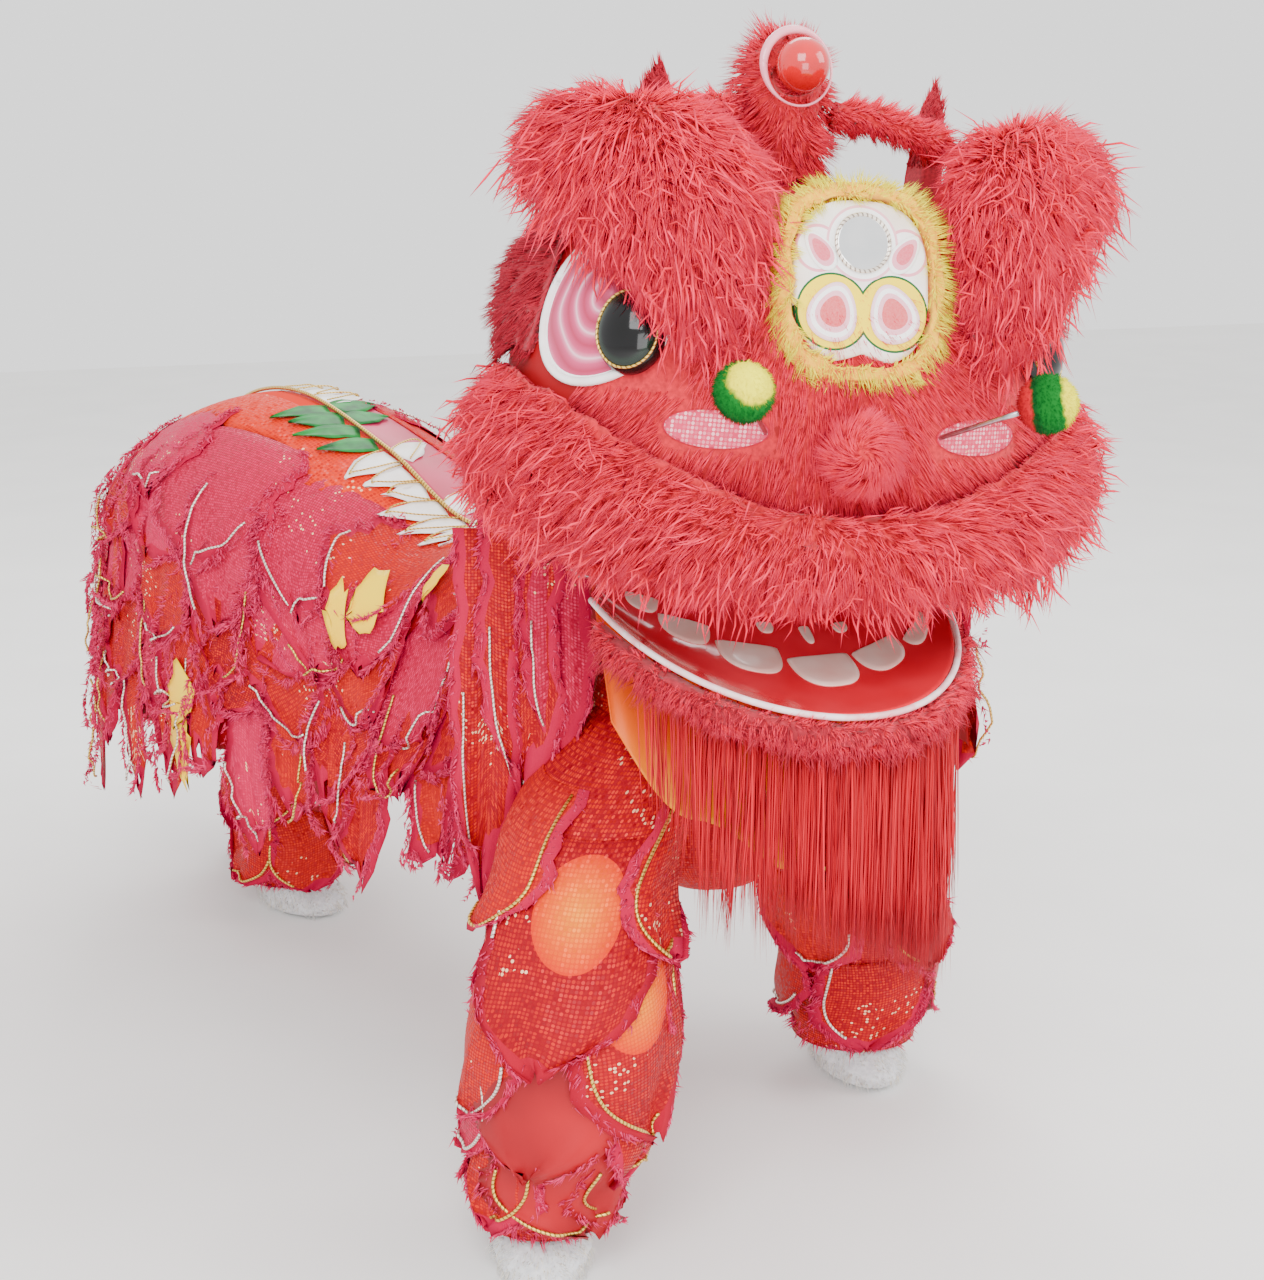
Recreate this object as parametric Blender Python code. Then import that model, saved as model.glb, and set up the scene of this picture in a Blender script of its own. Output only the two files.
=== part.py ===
"""Lion dance costume: its solids, in metres with +Z up.

The head faces -Y and the origin is the middle of the carrying bar inside it. The head leans to the
lion's left by TILT, so its pieces are drawn upright and hang from an empty that is turned by TILT.
The body cloth, the trousers and the paw covers are drawn straight in the world.
"""

import math
import random

import bmesh
import bpy
from mathutils import Matrix, Vector

FLOOR = -1.02
TILT = math.radians(4.5)
GAP = 0.0003
FUR_GAP = 0.0009
SHELL_WALL = 0.004
CLOTH = 0.002
FELT = 0.003

# The head's outer skin, a row for each level
HEAD = [  # height, half_width, front, back
    (-0.160, 0.270, -0.185, 0.195),
    (-0.100, 0.318, -0.215, 0.225),
    (-0.020, 0.340, -0.232, 0.245),
    (0.060, 0.338, -0.238, 0.250),
    (0.140, 0.328, -0.225, 0.245),
    (0.200, 0.312, -0.200, 0.230),
    (0.250, 0.280, -0.165, 0.205),
    (0.285, 0.225, -0.120, 0.165),
    (0.300, 0.150, -0.070, 0.110),
]
HEAD_MIDDLE = 0.020
HEAD_SQUARENESS = 2.3
CROWN = 0.305
HEAD_TURNS = 20
DOOR_HALF = 0.170
DOOR_TOP = 0.100

# The fur roll round the upper jaw, from its middle to the lion's left end
MUZZLE = [  # x, y, z, half_thickness, half_height
    (0.000, -0.236, -0.090, 0.062, 0.060),
    (0.120, -0.226, -0.085, 0.068, 0.066),
    (0.220, -0.180, -0.060, 0.076, 0.084),
    (0.290, -0.110, -0.030, 0.084, 0.098),
    (0.322, -0.030, -0.010, 0.088, 0.100),
    (0.320, 0.040, 0.005, 0.078, 0.088),
    (0.300, 0.095, 0.012, 0.045, 0.050),
]

# The brow pad's edge seen from the front, round the lion's left pad
BROW = [  # x, z
    (0.150, 0.118),
    (0.200, 0.130),
    (0.240, 0.182),
    (0.292, 0.240),
    (0.346, 0.285),
    (0.352, 0.338),
    (0.328, 0.382),
    (0.265, 0.408),
    (0.185, 0.400),
    (0.122, 0.365),
    (0.104, 0.300),
    (0.112, 0.232),
    (0.128, 0.165),
]
BROW_TIP = Vector((0.150, -0.215, 0.115))
BROW_FACING = Vector((0.542, -0.802, 0.251)).normalized()
BROW_LAYERS = [  # scale, rise
    (0.70, -0.050),
    (0.94, -0.025),
    (1.00, 0.012),
    (0.93, 0.050),
    (0.70, 0.076),
    (0.36, 0.088),
]
BROW_POINTS = 12

# The forehead plate and what lies on it
PLATE_CENTRE = Vector((0.0, -0.212, 0.213))
PLATE_LEAN = math.radians(17)
PLATE_HALF = (0.080, 0.092)
PLATE_DEEP = 0.040
PLATE_FUR_HALF = (0.108, 0.120)
PLATE_FUR_RISE = 0.006
MIRROR_RADIUS = 0.032
MIRROR_UP = 0.044
PETALS = [  # name, across, up, half_width, half_height, lean
    ("petal_upper_R", -0.051, 0.034, 0.014, 0.026, 38),
    ("petal_upper_L", 0.051, 0.034, 0.014, 0.026, -38),
    ("petal_lower_R", -0.036, -0.034, 0.029, 0.034, -18),
    ("petal_lower_L", 0.036, -0.034, 0.029, 0.034, 18),
]

# Horn, boa, ears, pompoms and nose, at the lion's left where there is a pair
HORN = [  # z, y, radius
    (0.270, 0.060, 0.062),
    (0.330, 0.066, 0.058),
    (0.380, 0.072, 0.057),
    (0.430, 0.074, 0.060),
    (0.470, 0.072, 0.046),
    (0.488, 0.070, 0.020),
]
HORN_X = -0.012
BULB_CENTRE = Vector((-0.012, 0.010, 0.445))
BULB_RADIUS = 0.032
RIM_RADIUS = 0.045
RIM_TUBE = 0.005
BOA = [  # x, y, z
    (0.040, 0.070, 0.385),
    (0.085, 0.060, 0.392),
    (0.130, 0.035, 0.382),
    (0.180, 0.000, 0.362),
]
BOA_RADIUS = 0.021
EAR_FOOT = Vector((0.190, 0.085, 0.262))
EAR_TIP = Vector((0.176, 0.045, 0.438))
EAR_HALF = 0.042
NOSE_CENTRE = Vector((0.0, -0.262, 0.030))
NOSE_RADIUS = 0.044
POMPOM_CENTRE = Vector((0.176, -0.345, 0.104))
POMPOM_RADIUS = 0.036
ROD_FOOT = Vector((0.096, -0.215, 0.036))
ROD_RADIUS = 0.003

# Eyes and cheeks lie on the head's skin, at a turn from the nose and a height
EYE = {"turn": 0.93, "height": 0.178, "half_turn": 0.36, "half_height": 0.100, "lean": -0.35}
EYE_RISE = 0.004
EYEBALL = {"turn": 0.80, "height": 0.140, "half_turn": 0.150, "half_height": 0.047, "lean": 0.0}
EYEBALL_RISE = 0.030
CHEEK = {"turn": 1.62, "height": 0.170, "half_turn": 0.34, "half_height": 0.115, "lean": 0.0}
CHEEK_RISE = 0.034
PATCH = {"turn": 0.44, "height": 0.044, "half_turn": 0.19, "half_height": 0.022, "lean": 0.0}
PATCH_RISE = 0.002

# The jaw, hinged on a rod across the back of the mouth
HINGE = Vector((0.0, 0.040, -0.185))
HINGE_ROD = 0.004
HINGE_HALF = 0.236
JAW_HALF = 0.232
JAW_LONG = 0.345
JAW_DROP = 0.077
JAW_DISH = 0.030
JAW_SWEEP = math.radians(82)
JAW_PIPING = 0.004
JAW_FUR = 0.023
BEARD_TOP = 0.028
BEARD_THICK = 0.010
BEARD_SPAN = 0.74
BEARD = [  # place from the lion's right to its left, length of the hair
    (-1.0, 0.200),
    (-0.6, 0.290),
    (-0.2, 0.275),
    (0.2, 0.300),
    (0.6, 0.370),
    (1.0, 0.280),
]

# The body cloth, a row for each station from the head to the rump
CAPE = [  # x, y, ridge, half_width, shoulder_drop, hem_half, hem, heading_in_degrees
    (0.010, 0.150, 0.160, 0.300, 0.300, 0.335, -0.480, 0),
    (-0.010, 0.270, 0.040, 0.295, 0.240, 0.330, -0.500, 4),
    (-0.130, 0.410, -0.140, 0.250, 0.160, 0.290, -0.540, 14),
    (-0.270, 0.540, -0.215, 0.215, 0.140, 0.245, -0.560, 23),
    (-0.370, 0.720, -0.130, 0.230, 0.180, 0.255, -0.560, 24),
    (-0.460, 0.930, -0.075, 0.250, 0.200, 0.275, -0.580, 22),
    (-0.525, 1.110, -0.092, 0.248, 0.200, 0.270, -0.600, 18),
    (-0.560, 1.290, -0.165, 0.225, 0.190, 0.245, -0.620, 10),
    (-0.570, 1.430, -0.290, 0.180, 0.170, 0.200, -0.620, 5),
    (-0.575, 1.520, -0.460, 0.100, 0.080, 0.110, -0.600, 3),
]
CAPE_STATIONS = 19
CAPE_ROUNDS = 7
SHOULDER = 0.42
FOLDS = 4.5
FOLD_DEEP = 0.012
FLAP_ROWS = [  # top_round, foot_round, hang_below, rise_per_round, first_station
    (1, 4, 0.0, 0.0040, 3),
    (3, 5, 0.0, 0.0040, 2),
    (5, 7, 0.160, 0.0022, 1),
]
FLAP_POINT = 0.8
SEAM_STAND = 0.0007
FLAP_STAND = 0.0014
SPINE_FIRST = 4
SPINE_WIDE = 0.90
SPINE_NARROW = 0.62
SPINE_STAND = 0.0016

# Bib across the chest, seen from the front
BIB_LEAN = 0.62
BIB_SEAM = 0.0008
BIB = [  # x, foot
    (-0.232, -0.330),
    (-0.180, -0.420),
    (-0.110, -0.455),
    (-0.030, -0.500),
    (0.060, -0.400),
    (0.140, -0.310),
    (0.205, -0.245),
]

# Legs of the two pairs of trousers, from the hip down
FRONT_R = [  # z, x, y, radius
    (-0.330, -0.080, 0.120, 0.078),
    (-0.450, -0.220, 0.010, 0.104),
    (-0.530, -0.270, -0.055, 0.096),
    (-0.610, -0.293, -0.100, 0.108),
    (-0.690, -0.303, -0.112, 0.112),
    (-0.770, -0.310, -0.108, 0.102),
    (-0.840, -0.312, -0.104, 0.096),
    (-0.895, -0.333, -0.100, 0.078),
    (-0.958, -0.337, -0.100, 0.072),
]
FRONT_L = [
    (-0.330, 0.058, 0.125, 0.078),
    (-0.450, 0.125, 0.150, 0.112),
    (-0.530, 0.150, 0.190, 0.112),
    (-0.610, 0.180, 0.225, 0.114),
    (-0.690, 0.205, 0.250, 0.116),
    (-0.770, 0.230, 0.268, 0.112),
    (-0.840, 0.240, 0.275, 0.106),
    (-0.895, 0.238, 0.280, 0.096),
    (-0.958, 0.235, 0.280, 0.086),
]
HIND_R = [
    (-0.380, -0.500, 1.190, 0.095),
    (-0.480, -0.505, 1.160, 0.095),
    (-0.580, -0.508, 1.140, 0.092),
    (-0.680, -0.512, 1.130, 0.086),
    (-0.780, -0.522, 1.130, 0.072),
    (-0.870, -0.508, 1.130, 0.080),
    (-0.930, -0.504, 1.130, 0.076),
    (-0.958, -0.500, 1.130, 0.080),
]
HIND_L = [
    (-0.380, -0.500, 1.290, 0.095),
    (-0.480, -0.495, 1.320, 0.092),
    (-0.580, -0.490, 1.345, 0.090),
    (-0.680, -0.485, 1.365, 0.086),
    (-0.780, -0.480, 1.380, 0.078),
    (-0.870, -0.478, 1.390, 0.078),
    (-0.930, -0.476, 1.395, 0.076),
    (-0.958, -0.475, 1.395, 0.078),
]
FRONT_SEAT = [  # z, x, y, half_x, half_y
    (-0.270, -0.010, 0.130, 0.170, 0.105),
    (-0.360, -0.015, 0.120, 0.195, 0.115),
    (-0.470, -0.035, 0.100, 0.190, 0.120),
    (-0.560, -0.045, 0.090, 0.140, 0.090),
    (-0.610, -0.050, 0.090, 0.060, 0.045),
]
HIND_SEAT = [
    (-0.330, -0.500, 1.240, 0.120, 0.145),
    (-0.400, -0.500, 1.240, 0.125, 0.150),
    (-0.500, -0.500, 1.240, 0.110, 0.125),
    (-0.570, -0.500, 1.240, 0.050, 0.060),
]
LEG_SIDES = 10
LEG_RINGS = 9
LEG_WALL = 0.003
RUFFLE = 0.006
PAW_LAYERS = [  # height over the floor, half_width, half_length, toe_forward
    (0.000, 0.056, 0.088, 0.018),
    (0.024, 0.066, 0.096, 0.020),
    (0.046, 0.066, 0.086, 0.010),
]
PAW_TOP = 0.0612
PAW_INSET = 0.004
BRACE_HALF = 0.015
BRACE_LOOP = 0.0050
BAR_RADIUS = 0.0125

HELPERS = []


def clear():
    for item in list(bpy.data.objects):
        bpy.data.objects.remove(item)


def linear(part):
    return part / 12.92 if part <= 0.04045 else ((part + 0.055) / 1.055) ** 2.4


def paint(name, colour, roughness, metallic=0.0):
    """A plain Principled material; the colour is written as six sRGB hex digits."""
    material = bpy.data.materials.new(name)
    material.use_nodes = True
    rgb = [linear(int(colour[i:i + 2], 16) / 255) for i in (0, 2, 4)]
    shader = material.node_tree.nodes["Principled BSDF"]
    shader.inputs["Base Color"].default_value = (*rgb, 1.0)
    shader.inputs["Roughness"].default_value = roughness
    shader.inputs["Metallic"].default_value = metallic
    material.diffuse_color = (*rgb, 1.0)
    return material


def empty(name, at, holder=None):
    made = bpy.data.objects.new(name, None)
    bpy.context.scene.collection.objects.link(made)
    made.parent = holder
    made.location = at
    return made


def triangles(faces):
    """Splits quads the same way each time, so that a skin and its cutter match."""
    split = []
    for face in faces:
        split += [face] if len(face) == 3 else [face[:3], (face[0], face[2], face[3])]
    return split


def solid(name, points, faces, material, holder=None, helper=False):
    """A closed mesh object. Points are in the head's frame where the holder is the head or the jaw."""
    mesh = bpy.data.meshes.new(name)
    mesh.from_pydata([tuple(point) for point in points], [], faces)
    shape = bmesh.new()
    shape.from_mesh(mesh)
    bmesh.ops.recalc_face_normals(shape, faces=shape.faces)
    if shape.calc_volume(signed=True) < 0:
        bmesh.ops.reverse_faces(shape, faces=shape.faces)
    shape.to_mesh(mesh)
    shape.free()
    mesh.materials.append(material)
    made = bpy.data.objects.new(name, mesh)
    bpy.context.scene.collection.objects.link(made)
    if holder:
        made.parent = holder
        made.matrix_parent_inverse = Matrix.Translation(-holder.location)
    if helper:
        made.hide_render = True
        made.display_type = "WIRE"
        HELPERS.append(made)
    return made


def read(rows, key):
    """The other columns of a table at a value of its first column, on a smooth curve."""
    falling = rows[0][0] > rows[-1][0]
    rows = rows[::-1] if falling else rows
    key = min(max(key, rows[0][0]), rows[-1][0])
    place = max(i for i in range(len(rows) - 1) if rows[i][0] <= key)
    share = (key - rows[place][0]) / (rows[place + 1][0] - rows[place][0])
    return spline(rows, place + share)[1:]


def spline(rows, at):
    """A row between the rows of a table, on a smooth curve through them; at counts rows."""
    place = min(int(at), len(rows) - 2)
    t = at - place
    before, start = rows[max(place - 1, 0)], rows[place]
    end, after = rows[place + 1], rows[min(place + 2, len(rows) - 1)]
    mixed = []
    for a, b, c, d in zip(before, start, end, after):
        near, far = (c - a) / 2, (d - b) / 2
        mixed.append((2 * t**3 - 3 * t**2 + 1) * b + (t**3 - 2 * t**2 + t) * near
                     + (3 * t**2 - 2 * t**3) * c + (t**3 - t**2) * far)
    return mixed


def loft(name, rings, material, holder=None, helper=False):
    """A closed body through rings of equally many points, with a fan over each end."""
    count = len(rings[0])
    points = [point for ring in rings for point in ring]
    faces = []
    for i in range(len(rings) - 1):
        for j in range(count):
            k = (j + 1) % count
            faces.append((i * count + j, i * count + k, (i + 1) * count + k, (i + 1) * count + j))
    for ring, first in ((rings[0], 0), (rings[-1], (len(rings) - 1) * count)):
        points.append(sum((Vector(point) for point in ring), Vector()) / count)
        faces += [(first + j, first + (j + 1) % count, len(points) - 1) for j in range(count)]
    return solid(name, points, faces, material, holder, helper)


def sheet(name, near, far, material, holder=None):
    """A closed wall between two grids of the same size."""
    rows, columns = len(near), len(near[0])
    points = [point for row in near for point in row] + [point for row in far for point in row]
    half = rows * columns
    faces = []
    for i in range(rows - 1):
        for j in range(columns - 1):
            a, b = i * columns + j, i * columns + j + 1
            c, d = b + columns, a + columns
            faces += [(a, b, c, d), (a + half, d + half, c + half, b + half)]
    edge = [(0, j) for j in range(columns)] + [(i, columns - 1) for i in range(1, rows)]
    edge += [(rows - 1, j) for j in reversed(range(columns - 1))]
    edge += [(i, 0) for i in reversed(range(1, rows - 1))]
    ring = [i * columns + j for i, j in edge]
    for a, b in zip(ring, ring[1:] + ring[:1]):
        faces.append((a, b, b + half, a + half))
    return solid(name, points, faces, material, holder)


def circle(centre, across, up, count, turn=0.0):
    """Points round a centre; across and up are the two half axes."""
    angles = [turn + 2 * math.pi * j / count for j in range(count)]
    return [centre + across * math.cos(a) + up * math.sin(a) for a in angles]


def tube(name, path, radii, sides, material, holder=None, upright=None):
    """A closed tube along a path; radii are (across, up) for each point."""
    rings = []
    for i, point in enumerate(path):
        ahead = (path[min(i + 1, len(path) - 1)] - path[max(i - 1, 0)]).normalized()
        across = ahead.cross(upright or Vector((0, 0, 1))).normalized()
        up = across.cross(ahead).normalized()
        rings.append(circle(point, across * radii[i][0], up * radii[i][1], sides))
    return loft(name, rings, material, holder)


def ball(name, centre, radius, material, holder=None, rings=6, sides=12):
    levels = [math.pi * (i + 0.5) / rings for i in range(rings)]
    layers = []
    for level in levels:
        middle = centre + Vector((0, 0, radius * math.cos(level)))
        wide = radius * math.sin(level)
        layers.append(circle(middle, Vector((wide, 0, 0)), Vector((0, wide, 0)), sides))
    return loft(name, layers, material, holder)


def comb(made, length, sweep, seed, away=None):
    """Draws faces of a base form out into locks of fur, swept along the surface.

    Where away is given, only the faces that look away from that point get a lock.
    """
    chance = random.Random(seed)
    shape = bmesh.new()
    shape.from_mesh(made.data)
    faces = shape.faces[:]
    if away is not None:
        faces = [face for face in faces if face.normal.dot(face.calc_center_median() - away) > 0]
    poked = bmesh.ops.poke(shape, faces=faces)
    shape.normal_update()
    tips = [(vert, vert.normal.copy()) for vert in poked["verts"]]
    for vert, normal in tips:
        lie = sweep - normal * sweep.dot(normal)
        vert.co += normal * length * chance.uniform(0.65, 1.0) + lie * length * chance.uniform(0.1, 0.5)
    shape.to_mesh(made.data)
    shape.free()


def swollen(made, gap):
    """A hidden copy of a piece, grown by the gap, to cut its neighbours with."""
    mesh = made.data.copy()
    shape = bmesh.new()
    shape.from_mesh(mesh)
    shape.normal_update()
    for vert in shape.verts:
        vert.co += vert.normal * gap * min(vert.calc_shell_factor(), 3.0)
    shape.to_mesh(mesh)
    shape.free()
    copy = made.copy()
    copy.data = mesh
    copy.name = made.name + "_clearance"
    copy.hide_render = True
    copy.display_type = "WIRE"
    bpy.context.scene.collection.objects.link(copy)
    HELPERS.append(copy)
    return copy


def boolean(made, other, operation):
    cut = made.modifiers.new("boolean", "BOOLEAN")
    cut.operation = operation
    cut.solver = "EXACT"
    cut.object = other
    bpy.context.view_layer.update()
    graph = bpy.context.evaluated_depsgraph_get()
    mesh = bpy.data.meshes.new_from_object(made.evaluated_get(graph), depsgraph=graph)
    made.modifiers.remove(cut)
    made.data = mesh


def drop_crumbs(made):
    """Leaves the largest of the loose bodies that a cut has made, also of those that share an edge."""
    shape = bmesh.new()
    shape.from_mesh(made.data)
    bmesh.ops.remove_doubles(shape, verts=shape.verts[:], dist=0.00002)
    bmesh.ops.dissolve_degenerate(shape, edges=shape.edges[:], dist=0.00002)
    left, islands = set(shape.faces), []
    while left:
        island, front = [], [left.pop()]
        while front:
            face = front.pop()
            island.append(face)
            for edge in face.edges:
                if len(edge.link_faces) == 2:
                    for other in edge.link_faces:
                        if other in left:
                            left.discard(other)
                            front.append(other)
        islands.append(island)
    islands.sort(key=lambda island: sum(face.calc_area() for face in island), reverse=True)
    for island in islands[1:]:
        bmesh.ops.delete(shape, geom=island, context="FACES")
    shape.to_mesh(made.data)
    shape.free()


def carve(made, *cutters):
    """Cuts a piece clear of its neighbours, each given as a hidden swollen copy."""
    for cutter in cutters:
        boolean(made, cutter, "DIFFERENCE")
    drop_crumbs(made)


def mirrored(points, side):
    return [Vector((point[0] * side, point[1], point[2])) for point in points]


def skin(turn, height, out=0.0):
    """A point of the head's outer skin; turn is 0 at the nose and grows to the lion's left."""
    half, front, back = read(HEAD, height)
    power = 2 / HEAD_SQUARENESS
    sine, cosine = math.sin(turn), math.cos(turn)
    x = half * math.copysign(abs(sine) ** power, sine)
    y = HEAD_MIDDLE + ((front if cosine > 0 else back) - HEAD_MIDDLE) * abs(cosine) ** power
    point = Vector((x, y, height))
    if out:
        step = 0.01
        along = skin(turn + step, height) - skin(turn - step, height)
        rise = skin(turn, height + step) - skin(turn, height - step)
        point += along.cross(rise).normalized() * out
    return point


def head_skin():
    """Points and triangles of the head's outer skin, open below."""
    points = [skin(2 * math.pi * j / HEAD_TURNS, row[0]) for row in HEAD for j in range(HEAD_TURNS)]
    points.append(Vector((0, HEAD_MIDDLE, CROWN)))
    faces = []
    for low in range(0, (len(HEAD) - 1) * HEAD_TURNS, HEAD_TURNS):
        for j in range(HEAD_TURNS):
            k = (j + 1) % HEAD_TURNS
            faces.append((low + j, low + k, low + HEAD_TURNS + k, low + HEAD_TURNS + j))
    last = (len(HEAD) - 1) * HEAD_TURNS
    faces += [(last + j, last + (j + 1) % HEAD_TURNS, len(points) - 1) for j in range(HEAD_TURNS)]
    return points, triangles(faces)


def build_core(head, red):
    """The head's whole mass, hidden: it cuts the pieces that lie on the shell."""
    points, faces = head_skin()
    points.append(Vector((0, HEAD_MIDDLE, HEAD[0][0])))
    faces += [(j, (j + 1) % HEAD_TURNS, len(points) - 1) for j in range(HEAD_TURNS)]
    return solid("head_core", points, faces, red, head, helper=True)


def build_shell(head, red):
    points, faces = head_skin()
    shell = solid("head_shell", points, faces, red, head)
    wall = shell.modifiers.new("wall", "SOLIDIFY")
    wall.thickness = SHELL_WALL
    wall.offset = -1.0
    wall.use_even_offset = True
    corners = [(x, y) for x, y in ((-1, 0), (1, 0), (1, 1), (-1, 1))]
    low = [Vector((x * DOOR_HALF, 0.10 + y * 0.25, -0.30)) for x, y in corners]
    high = [Vector((x * DOOR_HALF * 0.8, 0.10 + y * 0.25, DOOR_TOP)) for x, y in corners]
    door = loft("door_cutter", [low, high], red, head, helper=True)
    boolean(shell, door, "DIFFERENCE")
    shell.modifiers.clear()
    drop_crumbs(shell)
    return shell


def build_bar(head, wood, shell):
    path = [Vector((x, 0, 0)) for x in (-0.37, 0.37)]
    rings = [circle(p, Vector((0, BAR_RADIUS, 0)), Vector((0, 0, BAR_RADIUS)), 14) for p in path]
    bar = loft("carry_bar", rings, wood, head)
    carve(bar, shell)
    return bar


def build_muzzle(head, fur, core):
    half = [spline(MUZZLE, i * (len(MUZZLE) - 1) / 7) for i in range(8)]
    rows = [(-row[0], *row[1:]) for row in reversed(half[1:])] + half
    path = [Vector(row[:3]) for row in rows]
    radii = [row[3:5] for row in rows]
    muzzle = tube("muzzle_fur", path, radii, 8, fur, head)
    comb(muzzle, 0.021, Vector((0, 0, -1)), 3, Vector((0, 0, -0.05)))
    carve(muzzle, core)
    return muzzle


def brow_outline():
    rows = BROW + BROW[:3]
    return [spline(rows, 1 + i * len(BROW) / BROW_POINTS) for i in range(BROW_POINTS)]


def build_brow(name, side, head, fur, cutters):
    """A thick fur pad that stands out over the eye, round a plane that faces forward and out."""
    outline = brow_outline()
    mid_x = sum(x for x, z in outline) / BROW_POINTS
    mid_z = sum(z for x, z in outline) / BROW_POINTS
    rings = []
    for scale, rise in BROW_LAYERS:
        ring = []
        for x, z in outline:
            x, z = mid_x + (x - mid_x) * scale, mid_z + (z - mid_z) * scale
            away = BROW_FACING.x * (x - BROW_TIP.x) + BROW_FACING.z * (z - BROW_TIP.z)
            y = BROW_TIP.y - away / BROW_FACING.y
            ring.append(Vector((x, y, z)) + BROW_FACING * rise)
        rings.append(mirrored(ring, side))
    pad = loft(name, rings, fur, head)
    comb(pad, 0.020, Vector((0.3 * side, 0, -1)), 11 + side, Vector((0.15 * side, 0, 0.2)))
    carve(pad, *cutters)
    return pad


def lens(name, where, side, rise, edge, material, head, rings=2, spokes=12, lift=GAP):
    """A low dome on the head's skin, oval in turn and height; edge is its thickness at the rim."""
    outer, inner = [], []
    for i in range(rings + 1):
        share = i / rings
        top, base = [], []
        for j in range(spokes):
            angle = 2 * math.pi * j / spokes
            across, up = share * math.cos(angle), share * math.sin(angle)
            turn = where["turn"] + where["half_turn"] * across + where["lean"] * up * where["half_turn"]
            height = where["height"] + where["half_height"] * up
            high = edge + (rise - edge) * math.sqrt(max(0.0, 1 - share**2))
            top.append(skin(turn, height, lift + high))
            base.append(skin(turn, height, lift))
        outer.append(mirrored(top, side))
        inner.append(mirrored(base, side))
    points = [outer[0][0]] + [p for ring in outer[1:] for p in ring]
    half = len(points)
    points += [inner[0][0]] + [p for ring in inner[1:] for p in ring]
    faces = []
    for start in (0, half):
        for j in range(spokes):
            k = (j + 1) % spokes
            faces.append((start, start + 1 + j, start + 1 + k))
            for i in range(rings - 1):
                low = start + 1 + i * spokes
                faces.append((low + j, low + spokes + j, low + spokes + k, low + k))
    last = 1 + (rings - 1) * spokes
    for j in range(spokes):
        k = (j + 1) % spokes
        faces.append((last + j, last + k, half + last + k, half + last + j))
    return solid(name, points, faces, material, head)


def plate_point(across, up, rise):
    """A point over the forehead plate's face."""
    lean = Matrix.Rotation(-PLATE_LEAN, 3, "X")
    return PLATE_CENTRE + lean @ Vector((across, -rise, up))


def plate_slab(name, outline, back, front, material, head):
    rings = [[plate_point(a, u, rise) for a, u in outline] for rise in (back, front)]
    return loft(name, rings, material, head)


def plate_outline(half, count=12):
    """A rounded square with a notch in its foot."""
    points = []
    for j in range(count):
        angle = 2 * math.pi * (j + 0.5) / count
        sine, cosine = math.sin(angle), math.cos(angle)
        x = half[0] * math.copysign(abs(cosine) ** 0.72, cosine)
        z = half[1] * math.copysign(abs(sine) ** 0.72, sine)
        if z < 0:
            z += half[1] * 0.14 * max(0.0, 1 - abs(x) / (half[0] * 0.45))
        points.append((x, z))
    return points


def build_plate(head, paints, core, brows):
    pieces = {}
    plate = plate_slab("forehead_plate", plate_outline(PLATE_HALF), -PLATE_DEEP, 0.0, paints["cream"], head)
    carve(plate, core, *brows)
    outer = plate_outline(PLATE_FUR_HALF)
    middle = plate_outline([(a + b) / 2 for a, b in zip(PLATE_HALF, PLATE_FUR_HALF)])
    inner = plate_outline([part + 2 * GAP for part in PLATE_HALF])
    rings = [
        [plate_point(a, u, -0.034) for a, u in inner],
        [plate_point(a, u, -0.034) for a, u in outer],
        [plate_point(a, u, -0.010) for a, u in outer],
        [plate_point(a, u, PLATE_FUR_RISE) for a, u in middle],
        [plate_point(a, u, 0.0) for a, u in inner],
    ]
    fur = torus("forehead_fur", rings, paints["yellow_fur"], head)
    comb(fur, 0.012, Vector((0, -0.4, 0)), 21, Vector((0, 0, 0.2)))
    carve(fur, core, swollen(plate, FUR_GAP), *brows)
    pieces["plate"], pieces["fur"] = plate, fur
    disc = [(MIRROR_RADIUS * math.cos(math.pi * j / 12), MIRROR_UP + MIRROR_RADIUS * math.sin(math.pi * j / 12))
            for j in range(24)]
    plate_slab("forehead_mirror", disc, GAP, GAP + 0.003, paints["mirror"], head)
    for name, across, up, wide, high, lean in PETALS:
        turn = math.radians(lean)
        outline = []
        for j in range(14):
            angle = 2 * math.pi * j / 14
            a = wide * math.cos(angle) * (1 - 0.25 * math.sin(angle))
            b = high * math.sin(angle)
            outline.append((across + a * math.cos(turn) - b * math.sin(turn),
                            up + a * math.sin(turn) + b * math.cos(turn)))
        plate_slab(name, outline, GAP, GAP + 0.002, paints["petal"], head)
    return pieces


def torus(name, rings, material, holder=None):
    """A closed ring-shaped body: the first and last rings are joined too."""
    count, layers = len(rings[0]), len(rings)
    points = [point for ring in rings for point in ring]
    faces = []
    for i in range(layers):
        n = (i + 1) % layers
        for j in range(count):
            k = (j + 1) % count
            faces.append((i * count + j, i * count + k, n * count + k, n * count + j))
    return solid(name, points, faces, material, holder)


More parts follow.
